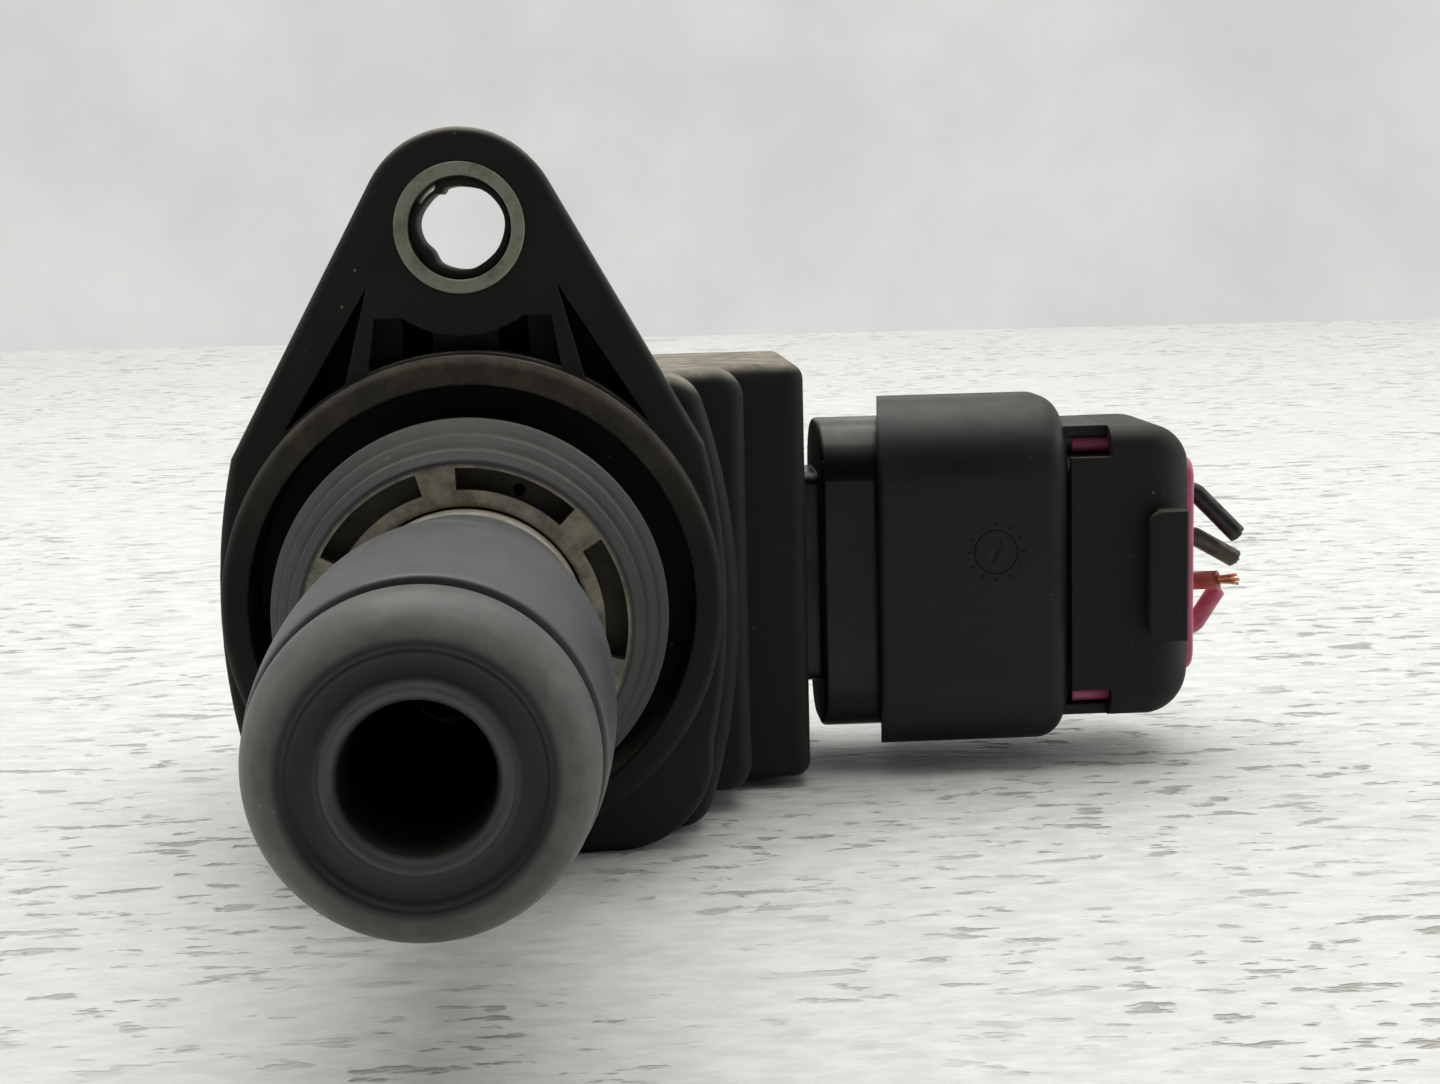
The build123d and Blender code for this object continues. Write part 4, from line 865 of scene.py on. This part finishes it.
def edges_in(parts: Iterable[bmesh.types.BMEdge | bmesh.types.BMVert | bmesh.types.BMFace]) -> Edges:
    """Picks the edges out of an operator's answer."""
    return [part for part in parts if isinstance(part, bmesh.types.BMEdge)]


def middle_of(verts: list[bmesh.types.BMVert]) -> Vector:
    """Gives the middle of some corners."""
    return sum((vert.co for vert in verts), Vector()) / len(verts)


def in_scene(name: str, data: bpy.types.ID) -> bpy.types.Object:
    """Makes an object of a mesh, light or camera, and puts it in the scene."""
    made = bpy.data.objects.new(name, data)
    bpy.context.scene.collection.objects.link(made)
    return made


class Shaper:
    """A bmesh in the making, with the steps that the pieces share."""

    def __init__(self) -> None:
        """Starts with nothing."""
        self.mesh = bmesh.new()

    def profile(self, points: Iterable[tuple[float, float]]) -> Edges:
        """Draws a closed outline for turning.

        Args:
            points: The (radius, depth) corners, in metres.

        Returns:
            The outline's edges.
        """
        corners = [self.mesh.verts.new((radius, depth, 0.0)) for radius, depth in points]
        pairs = zip(corners, corners[1:] + corners[:1])
        return [self.mesh.edges.new(pair) for pair in pairs]

    def turn(self, edges: Edges, steps: int, height: float = 0.0) -> None:
        """Spins edges full circle about a line along Y.

        Args:
            edges: The outline's edges.
            steps: How many steps make the circle.
            height: The height of the line above the boot's axis.
        """
        verts = corners_of(edges)
        bmesh.ops.translate(self.mesh, verts=verts, vec=(0.0, 0.0, height))
        bmesh.ops.spin(
            self.mesh, geom=verts + edges, cent=(0.0, 0.0, height), axis=(0.0, 1.0, 0.0),
            angle=math.tau, steps=steps, use_merge=True, use_duplicate=False,
        )

    def ring(self, centre: Vector, direction: Vector, radius: float, segments: int) -> Edges:
        """Makes an open circle.

        Args:
            centre: Its middle.
            direction: The way that it faces.
            radius: Its radius.
            segments: How many sides it has.

        Returns:
            Its edges.
        """
        turn = direction.to_track_quat("Z", "Y").to_matrix().to_4x4()
        made = bmesh.ops.create_circle(
            self.mesh, cap_ends=False, radius=radius, segments=segments,
            matrix=Matrix.Translation(centre) @ turn,
        )
        return list(dict.fromkeys(edge for vert in made["verts"] for edge in vert.link_edges))

    def push(self, edges: Edges, move: Vector, scale: float = 1.0) -> Edges:
        """Extrudes a ring of edges and moves or shrinks the new ring.

        Args:
            edges: The ring.
            move: How far the new ring moves.
            scale: Its size against the old one.

        Returns:
            The new ring's edges.
        """
        made = bmesh.ops.extrude_edge_only(self.mesh, edges=edges)["geom"]
        verts = [part for part in made if isinstance(part, bmesh.types.BMVert)]
        if scale != 1.0:
            space = Matrix.Translation(-middle_of(verts))
            bmesh.ops.scale(self.mesh, verts=verts, vec=(scale,) * 3, space=space)
        bmesh.ops.translate(self.mesh, verts=verts, vec=move)
        return edges_in(made)

    def sweep(
        self,
        edges: Edges,
        centre: Vector,
        axis: Vector,
        angle: float,
        steps: int,
        climb: Vector | None = None,
    ) -> Edges:
        """Carries a ring of edges round an axis and leaves a tube behind it.

        Args:
            edges: The ring.
            centre: A point on the axis.
            axis: The axis.
            angle: How far it goes round, in radians.
            steps: In how many steps.
            climb: How far it moves at each step, if it isn't to stay level.

        Returns:
            The last ring's edges.
        """
        made = bmesh.ops.spin(
            self.mesh, geom=corners_of(edges) + edges, cent=centre, axis=axis, dvec=climb or Vector(),
            angle=angle, steps=steps, use_merge=False, use_duplicate=False,
        )
        return edges_in(made["geom_last"])

    def close(self, edges: Edges) -> None:
        """Closes a ring of edges with a face."""
        bmesh.ops.contextual_create(self.mesh, geom=edges)

    def finish(self, name: str, body: str, slot: str, replaces: Iterable[str] = ()) -> bpy.types.Object:
        """Merges doubles, turns the faces outwards, and makes the piece.

        Args:
            name: The piece's name.
            body: The CAD body that it rides on.
            slot: Its material slot.
            replaces: The CAD nodes that it stands for.

        Returns:
            The piece.
        """
        bmesh.ops.remove_doubles(self.mesh, verts=self.mesh.verts, dist=SAME_PLACE)
        bmesh.ops.recalc_face_normals(self.mesh, faces=self.mesh.faces)
        data = bpy.data.meshes.new(name)
        self.mesh.to_mesh(data)
        self.mesh.free()
        data.shade_smooth()
        piece = in_scene(name, data)
        WARDROBE.dress(piece, slot)
        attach(piece, body)
        if replaces:
            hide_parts(*replaces)
        LOG.info("made %s on %s", name, body)
        return piece


# ---- sub-assemblies -------------------------------------------------------------------------
@dataclass
class Dressed:
    """A sub-assembly with CAD nodes that keep their own shape.

    Attributes:
        nodes: Those nodes.
    """

    nodes: tuple[str, ...] = ()

    def build(self) -> None:
        """Dresses the nodes."""
        WARDROBE.dress_nodes(self.nodes)


@dataclass
class CoilBody(Dressed):
    """The housing with its bushing, the torn bolt retainer in it, and the resin at the back.

    Attributes:
        ring_outer: Outer radius of the torn ring.
        ring_inner: Inner radius of the torn ring where it is whole.
        ring_depth: Y of the ring's front and back.
        lip: How far its inner corners are cut back.
        thinnest: The least width that a tear leaves.
        steps: Steps in a full turn.
        waves: The inner edge's unevenness: each wave's height, number and start in degrees.
        tears: Each tear's angle, half width and depth.
        split: The angle and half width of the stretch that has come off the bushing, and how far.
    """

    nodes: tuple[str, ...] = ("coil_housing", "mounting_bushing", "potting_fill")
    ring_outer: float = 4.05 * MM
    ring_inner: float = 3.3 * MM
    ring_depth: tuple[float, float] = (3.2 * MM, 9.8 * MM)
    lip: float = 0.12 * MM
    thinnest: float = 0.08 * MM
    steps: int = 120
    waves: tuple[tuple[float, float, float], ...] = ((0.03 * MM, 3.0, 40.0), (0.02 * MM, 8.0, 0.0))
    tears: tuple[tuple[float, float, float], ...] = (
        (118.0, 8.0, -0.24 * MM), (172.0, 30.0, 0.24 * MM), (217.0, 20.0, -0.26 * MM),
        (20.0, 70.0, 0.2 * MM),
    )
    split: tuple[float, float, float] = (134.0, 17.0, 0.52 * MM)

    def build(self) -> None:
        """Dresses the CAD nodes and makes the torn ring."""
        super().build()
        self.torn_ring()

    def torn_ring(self) -> None:
        """Turns a thin ring, tears its inner edge and pulls a stretch of it off the bushing."""
        front, back = self.ring_depth
        inner, outer, lip = self.ring_inner, self.ring_outer, self.lip
        shaper = Shaper()
        corners = (
            (inner, front + lip), (inner + lip, front), (outer, front), (outer, back), (inner + lip, back),
            (inner, back - lip),
        )
        shaper.turn(shaper.profile(corners), self.steps, EAR_HEIGHT)
        for vert in shaper.mesh.verts:
            x, z = vert.co.x, vert.co.z - EAR_HEIGHT
            radius = math.hypot(x, z)
            angle = math.degrees(math.atan2(z, x)) % 360.0
            if radius > inner + 2 * lip:
                moved = radius - self.pulled(angle)
            else:
                moved = min(radius + self.torn(angle), outer - self.thinnest)
            vert.co.x = x * moved / radius
            vert.co.z = EAR_HEIGHT + z * moved / radius
        shaper.finish("torn_bolt_retainer", "coil", "retainer_plastic", ("bolt_retainer",))

    def pulled(self, angle: float) -> float:
        """Gives how far the ring has come off the bushing, with a steep start and a flat middle."""
        centre, half, depth = self.split
        share = max(0.0, 1.0 - ((angle - centre) / half) ** 2)
        return min(1.0, 2.5 * share) * depth

    def torn(self, angle: float) -> float:
        """Gives how far the ring's inner edge stands back at an angle."""
        out = sum(high * math.sin(math.radians(count * angle + start)) for high, count, start in self.waves)
        for centre, half, depth in self.tears:
            away = (angle - centre + 180.0) % 360.0 - 180.0
            out += depth * max(0.0, 1.0 - (away / half) ** 2) ** 2
        return out


@dataclass
class CoilInsides(Dressed):
    """The magnetic circuit, windings, driver and high-voltage way, all inside the block.

    Attributes:
        spring_top: Y of the contact spring's fixed end.
        spring_radius: Radius of its turns, at the wire's middle.
        spring_wire: Radius of its wire.
        spring_pitch: Distance between its turns.
        spring_turns: How many open turns it has.
        spring_travel: How far its end is pushed in. Not used.
        wire_sides: Sides of the wire.
        turn_steps: Steps in one turn.
    """

    nodes: tuple[str, ...] = (
        "core_stack", "outer_yoke", "primary_bobbin", "primary_winding", "secondary_bobbin",
        "secondary_winding", "driver_board", "igniter_chip", "hv_terminal", "suppression_resistor",
        "spring_end",
    )
    spring_top: float = -9.5 * MM
    spring_radius: float = 2.2 * MM
    spring_wire: float = 0.3 * MM
    spring_pitch: float = 1.6 * MM
    spring_turns: int = 11
    spring_travel: float = 5.0 * MM
    wire_sides: int = 12
    turn_steps: int = 28

    def build(self) -> None:
        """Dresses the CAD nodes and winds the contact spring."""
        super().build()
        self.open_turns()

    def open_turns(self) -> None:
        """Winds the spring's open turns."""
        shaper = Shaper()
        start = Vector((self.spring_radius, self.spring_top - self.spring_wire, 0.0))
        edges = shaper.ring(start, Vector((0.0, 0.0, 1.0)), self.spring_wire, self.wire_sides)
        steps = self.spring_turns * self.turn_steps
        length = self.spring_turns * self.spring_pitch
        climb = Vector((0.0, -length / steps, 0.0))
        angle = math.tau * self.spring_turns
        last = shaper.sweep(edges, Vector(), Vector((0.0, 1.0, 0.0)), angle, steps, climb)
        shaper.close(edges)
        shaper.close(last)
        piece = shaper.finish("contact_spring_turns", "coil", "spring_steel", ("contact_spring",))
        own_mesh(piece)


@dataclass
class SparkPlugBoot(Dressed):
    """The silicone boot and the ribbed seal round its root.

    Attributes:
        profile: The (radius, Y) corners from the root round the outside to the bore, in millimetres.
        steps: Steps in a full turn.
    """

    nodes: tuple[str, ...] = ("well_seal",)
    profile: tuple[tuple[float, float], ...] = (
        (7.15, -6.4), (7.2, -6.4), (8.7, -6.4), (9.0, -6.7), (9.0, -8.0), (9.0, -11.0), (9.15, -14.5),
        (9.7, -19.0), (10.4, -24.5), (10.85, -29.0), (11.0, -33.0), (11.0, -37.5), (10.93, -41.0),
        (10.75, -44.5), (10.55, -47.2), (10.45, -48.1), (10.36, -48.4), (10.1, -48.48), (9.66, -48.5),
        (9.6, -48.58), (9.6, -49.22), (9.66, -49.3), (9.92, -49.33), (10.06, -49.5), (10.1, -50.0),
        (10.1, -51.0), (9.95, -52.1), (9.5, -53.1), (8.8, -53.9), (8.0, -54.35), (7.55, -54.45),
        (7.3, -54.4), (7.1, -54.1), (6.9, -54.0), (5.75, -54.0), (5.5, -54.1), (5.3, -54.4),
        (5.1, -54.5), (4.8, -54.45), (4.5, -54.2), (4.3, -53.6), (4.25, -52.8), (4.25, -46.0),
        (4.25, -38.0), (4.25, -31.6), (4.2, -31.1), (3.6, -30.1), (3.5, -29.8), (3.5, -26.0),
        (3.5, -23.3), (3.55, -23.05), (7.0, -23.0), (7.15, -22.85), (7.15, -12.0),
    )
    steps: int = 96

    def build(self) -> None:
        """Turns the boot and dresses the seal."""
        shaper = Shaper()
        shaper.turn(shaper.profile((r * MM, y * MM) for r, y in self.profile), self.steps)
        piece = shaper.finish("boot_rubber", "boot", "boot_silicone", ("boot",))
        smooth = piece.modifiers.new("smooth", "SUBSURF")
        smooth.levels = 1
        smooth.render_levels = 1
        super().build()


@dataclass
class BlockConnector(Dressed):
    """The glossy socket on the block and its four blades."""

    nodes: tuple[str, ...] = ("connector_socket", "socket_terminals")


@dataclass
class HarnessPlug(Dressed):
    """The harness plug with its latch, seals, terminals, clip and rear cover."""

    nodes: tuple[str, ...] = (
        "plug_housing", "latch_lever", "interface_seal", "terminal_lock", "female_terminals",
        "mat_seal", "seal_retainer", "rear_cover",
    )


@dataclass
class CutWire:
    """One wire cut short: its insulation with a torn end, and its strands.

    Attributes:
        colour: The colour in its nodes' names.
        row: Its way in the plug, counted from the top.
        end: Where the insulation ends.
        bare: How far the strands stand out past it.
        splay: How far the strands spread.
        start_x: X where the modelled insulation starts, inside the plug.
        corner_x: X of the bend.
        bend: Radius of the bend.
        outer: Radius of the insulation.
        inner: Radius of its bore.
        strand: Radius of one strand.
        axis_y: Y of the plug's axis.
        top_z: Z of the top way.
        pitch: Distance between ways.
        sides: Sides of the insulation.
        straight_steps: Lengths that its straight part is made in.
        bend_steps: Lengths that its bend is made in.
        runs: Where the free run is divided, as shares of it from the bend.
        collar: Size of the end's worn edge against the insulation.
        bite: How far the cutters pulled the end back on each side, and how unevenly.
        strand_sides: Sides of a strand.
        strand_steps: Lengths that a bare strand is bent in.
    """

    colour: str
    row: int
    end: tuple[float, float, float]
    bare: float
    splay: float
    start_x: float = 52.0 * MM
    corner_x: float = 64.9 * MM
    bend: float = 1.2 * MM
    outer: float = 0.85 * MM
    inner: float = 0.45 * MM
    strand: float = 0.135 * MM
    axis_y: float = 26.6 * MM
    top_z: float = 4.0 * MM
    pitch: float = 4.2 * MM
    sides: int = 28
    straight_steps: int = 4
    bend_steps: int = 8
    runs: tuple[float, ...] = (0.55, 0.33, 0.12)
    collar: float = 0.9
    bite: tuple[float, float] = (0.14 * MM, 0.09 * MM)
    strand_sides: int = 8
    strand_steps: int = 5

    def build(self) -> None:
        """Makes the insulation and the strands."""
        self.corner = Vector((self.corner_x, self.axis_y, self.top_z - self.row * self.pitch))
        self.tip = Vector(self.end) * MM
        self.out = (self.tip - self.corner).normalized()
        self.rng = random.Random(11 + self.row)
        self.insulation()
        self.strands()

    def insulation(self) -> None:
        """Sweeps the tube round its bend, tears its end and bores it."""
        along = Vector((1.0, 0.0, 0.0))
        turn = along.angle(self.out)
        tangent = self.bend * math.tan(turn / 2)
        axis = along.cross(self.out).normalized()
        inward = axis.cross(along).normalized()
        shaper = Shaper()
        start = Vector((self.start_x, self.corner.y, self.corner.z))
        edges = shaper.ring(start, along, self.outer, self.sides)
        shaper.close(edges)
        straight = self.corner.x - tangent - self.start_x
        for _ in range(self.straight_steps):
            edges = shaper.push(edges, along * straight / self.straight_steps)
        centre = self.corner - along * tangent + inward * self.bend
        edges = shaper.sweep(edges, centre, axis, turn, self.bend_steps)
        rest = (self.tip - self.corner).length - tangent
        for share in self.runs:
            edges = shaper.push(edges, self.out * rest * share)
        self.tear(edges)
        edges = shaper.push(edges, Vector(), self.collar)
        edges = shaper.push(edges, -self.out * 0.05 * MM, self.inner / (self.collar * self.outer))
        edges = shaper.push(edges, -self.out * 0.6 * MM)
        shaper.close(edges)
        name = f"insulation_{self.colour}"
        shaper.finish(f"{name}_cut", "plug", name, (f"wire_{self.colour}",))

    def tear(self, edges: Edges) -> None:
        """Pulls the end ring back unevenly, as side cutters leave it."""
        verts = corners_of(edges)
        middle = middle_of(verts)
        lean = self.rng.uniform(0.0, math.tau)
        side = self.out.orthogonal().normalized()
        side.rotate(Matrix.Rotation(lean, 3, self.out))
        slope, ragged = self.bite
        for vert in verts:
            share = (vert.co - middle).dot(side) / self.outer
            vert.co -= self.out * ((1.0 + share) * slope + self.rng.uniform(0.0, ragged))

    def strands(self) -> None:
        """Lays one strand in the middle and six round it, each a little longer or shorter."""
        shaper = Shaper()
        side = self.out.orthogonal().normalized()
        inside = min(1.2 * MM, (self.tip - self.corner).length * 0.5)
        places = [Vector()] + [
            Matrix.Rotation(i * math.tau / 6, 3, self.out) @ (side * self.strand * 2.1) for i in range(6)
        ]
        for place in places:
            start = self.tip - self.out * inside + place
            edges = shaper.ring(start, self.out, self.strand, self.strand_sides)
            shaper.close(edges)
            edges = shaper.push(edges, self.out * inside)
            length = self.bare * self.rng.uniform(0.72, 1.0)
            drift = place * self.splay + side * self.rng.uniform(-0.2, 0.2) * self.strand * self.splay
            for step in range(self.strand_steps):
                bow = drift * (0.4 + 0.3 * step)
                last = step == self.strand_steps - 1
                move = (self.out * length + bow) / self.strand_steps
                edges = shaper.push(edges, move, 0.8 if last else 1.0)
            shaper.close(edges)
        shaper.finish(f"strands_{self.colour}", "plug", "bare_copper", (f"conductor_{self.colour}",))


@dataclass
class WireEnds:
    """The four cut wires.

    Attributes:
        wires: The wires from the top.
    """

    wires: tuple[CutWire, ...] = (
        CutWire("black", 0, (68.9, 25.9, -0.2), 0.15 * MM, 0.3),
        CutWire("brown", 1, (69.2, 27.7, -2.7), 0.15 * MM, 0.3),
        CutWire("orange", 2, (67.1, 25.5, -4.2), 1.8 * MM, 0.75),
        CutWire("magenta", 3, (67.4, 27.6, -5.4), 0.15 * MM, 0.3),
    )

    def build(self) -> None:
        """Makes each wire."""
        for wire in self.wires:
            wire.build()


# ---- studio ---------------------------------------------------------------------------------
@dataclass
class Softbox:
    """A square area light.

    Attributes:
        name: Its name.
        place: Where it hangs.
        target: What it faces.
        size: Its side.
        power: Its power in watts.
        colour: Its colour.
    """

    name: str
    place: tuple[float, float, float]
    target: tuple[float, float, float]
    size: float
    power: float
    colour: Colour = (1.0, 1.0, 0.98)

    def build(self) -> None:
        """Hangs the light."""
        data = bpy.data.lights.new(self.name, "AREA")
        data.shape = "SQUARE"
        data.size = self.size
        data.energy = self.power
        data.color = self.colour
        light = in_scene(self.name, data)
        light.location = self.place
        facing = Vector(self.target) - Vector(self.place)
        light.rotation_euler = facing.to_track_quat("-Z", "Y").to_euler()


@dataclass
class Studio:
    """The floor that the coil lies on, the light round it, and the camera.

    Attributes:
        front_foot: Y and Z of the flange's lower front edge, which the coil lies on.
        back_foot: Y and Z of the block's lower back edge, which it lies on too.
        floor_reach: Y of the floor's near and far edge.
        floor_half_width: Half the floor's width.
        camera_place: Where the camera stands.
        camera_right: The camera's right-hand direction.
        camera_forward: The way that it looks.
        lens: Its focal length in millimetres.
        sensor: Its sensor's width in millimetres.
        sight: How near and how far it sees.
        boxes: The lights.
        finish: The floor's finish.
    """

    front_foot: tuple[float, float] = (2.0 * MM, -21.0 * MM)
    back_foot: tuple[float, float] = (37.0 * MM, -19.3 * MM)
    floor_reach: tuple[float, float] = (-0.60, 0.427)
    floor_half_width: float = 0.75
    camera_place: tuple[float, float, float] = (10.8 * MM, -169.6 * MM, 29.4 * MM)
    camera_right: tuple[float, float, float] = (0.99813, -0.05557, -0.02544)
    camera_forward: tuple[float, float, float] = (0.0513, 0.9882, -0.1446)
    lens: float = 54.25
    sensor: float = 36.0
    sight: tuple[float, float] = (0.005, 20.0)
    boxes: tuple[Softbox, ...] = (
        Softbox("overhead", (0.03, 0.12, 0.50), (0.02, 0.02, 0.0), 0.55, 2.4),
        Softbox("left_wall", (-0.55, 0.05, 0.22), (0.0, 0.0, 0.0), 0.40, 0.5),
        Softbox("right_wall", (0.60, 0.10, 0.20), (0.03, 0.0, 0.0), 0.35, 0.6),
    )
    finish: PaintedBoard = field(default_factory=lambda: PaintedBoard("painted_board", (0.73, 0.745, 0.715)))

    def build(self) -> None:
        """Makes the floor, the world, the lights and the camera."""
        self.floor()
        self.world()
        for box in self.boxes:
            box.build()
        self.camera()
        bpy.context.scene.view_settings.view_transform = "Standard"
        LOG.info("made the studio")

    def floor(self) -> None:
        """Lays the floor through the two edges that the coil rests on."""
        (front_y, front_z), (back_y, back_z) = self.front_foot, self.back_foot
        slope = (back_z - front_z) / (back_y - front_y)
        near, far = self.floor_reach
        made = bmesh.new()
        bmesh.ops.create_grid(made, x_segments=4, y_segments=4, size=0.5)
        bmesh.ops.scale(made, verts=made.verts, vec=(2 * self.floor_half_width, far - near, 1.0))
        bmesh.ops.translate(made, verts=made.verts, vec=(0.0, (near + far) / 2, 0.0))
        lean = self.camera_right[1] / self.camera_right[0]
        for vert in made.verts:
            vert.co.y += vert.co.x * lean
            vert.co.z = front_z + (vert.co.y - front_y) * slope
        data = bpy.data.meshes.new("floor")
        made.to_mesh(data)
        made.free()
        data.materials.append(self.finish.build())
        in_scene("floor", data)

    def world(self) -> None:
        """Surrounds the coil with pale light that is darkest behind the camera."""
        world = bpy.data.worlds.new("room")
        world.use_nodes = True
        bpy.context.scene.world = world
        world.node_tree.nodes.clear()
        graph = Graph(world.node_tree)
        way = graph.node("ShaderNodeTexCoord").outputs["Generated"]
        parts = graph.parts(way)
        behind = graph.fade(parts["Y"], -0.95, -0.05, 0.035, 0.6)
        above = graph.fade(parts["Z"], 0.2, 1.0, 1.0, 1.5)
        lit = graph.times(behind, above)
        seen = graph.fade(graph.noise(way, 9.0, 4.0, 0.6), 0.3, 0.7, 0.63, 0.72)
        camera = graph.node("ShaderNodeLightPath").outputs["Is Camera Ray"]
        choice = graph.node("ShaderNodeMix", {0: camera, 2: lit, 3: seen}).outputs[0]
        shade = graph.node("ShaderNodeBackground", {"Color": (0.985, 1.0, 0.97, 1.0), "Strength": choice})
        graph.node("ShaderNodeOutputWorld", {"Surface": shade.outputs[0]})

    def camera(self) -> None:
        """Places the camera."""
        data = bpy.data.cameras.new("camera")
        data.lens = self.lens
        data.sensor_width = self.sensor
        data.clip_start, data.clip_end = self.sight
        camera = in_scene("camera", data)
        back = -Vector(self.camera_forward).normalized()
        right = Vector(self.camera_right)
        right = (right - back * right.dot(back)).normalized()
        up = back.cross(right)
        turn = Matrix((right, up, back)).transposed().to_4x4()
        camera.matrix_world = Matrix.Translation(self.camera_place) @ turn
        bpy.context.scene.camera = camera


WARDROBE = Wardrobe(FINISHES)


def main() -> None:
    """Builds the sub-assemblies in order, then the studio."""
    logging.basicConfig(level=logging.INFO, format="%(name)s: %(message)s")
    for part in (
        CoilBody(), CoilInsides(), SparkPlugBoot(), BlockConnector(), HarnessPlug(), WireEnds(), Studio(),
    ):
        part.build()
        LOG.info("finished %s", type(part).__name__)


if __name__ == "__main__":
    main()
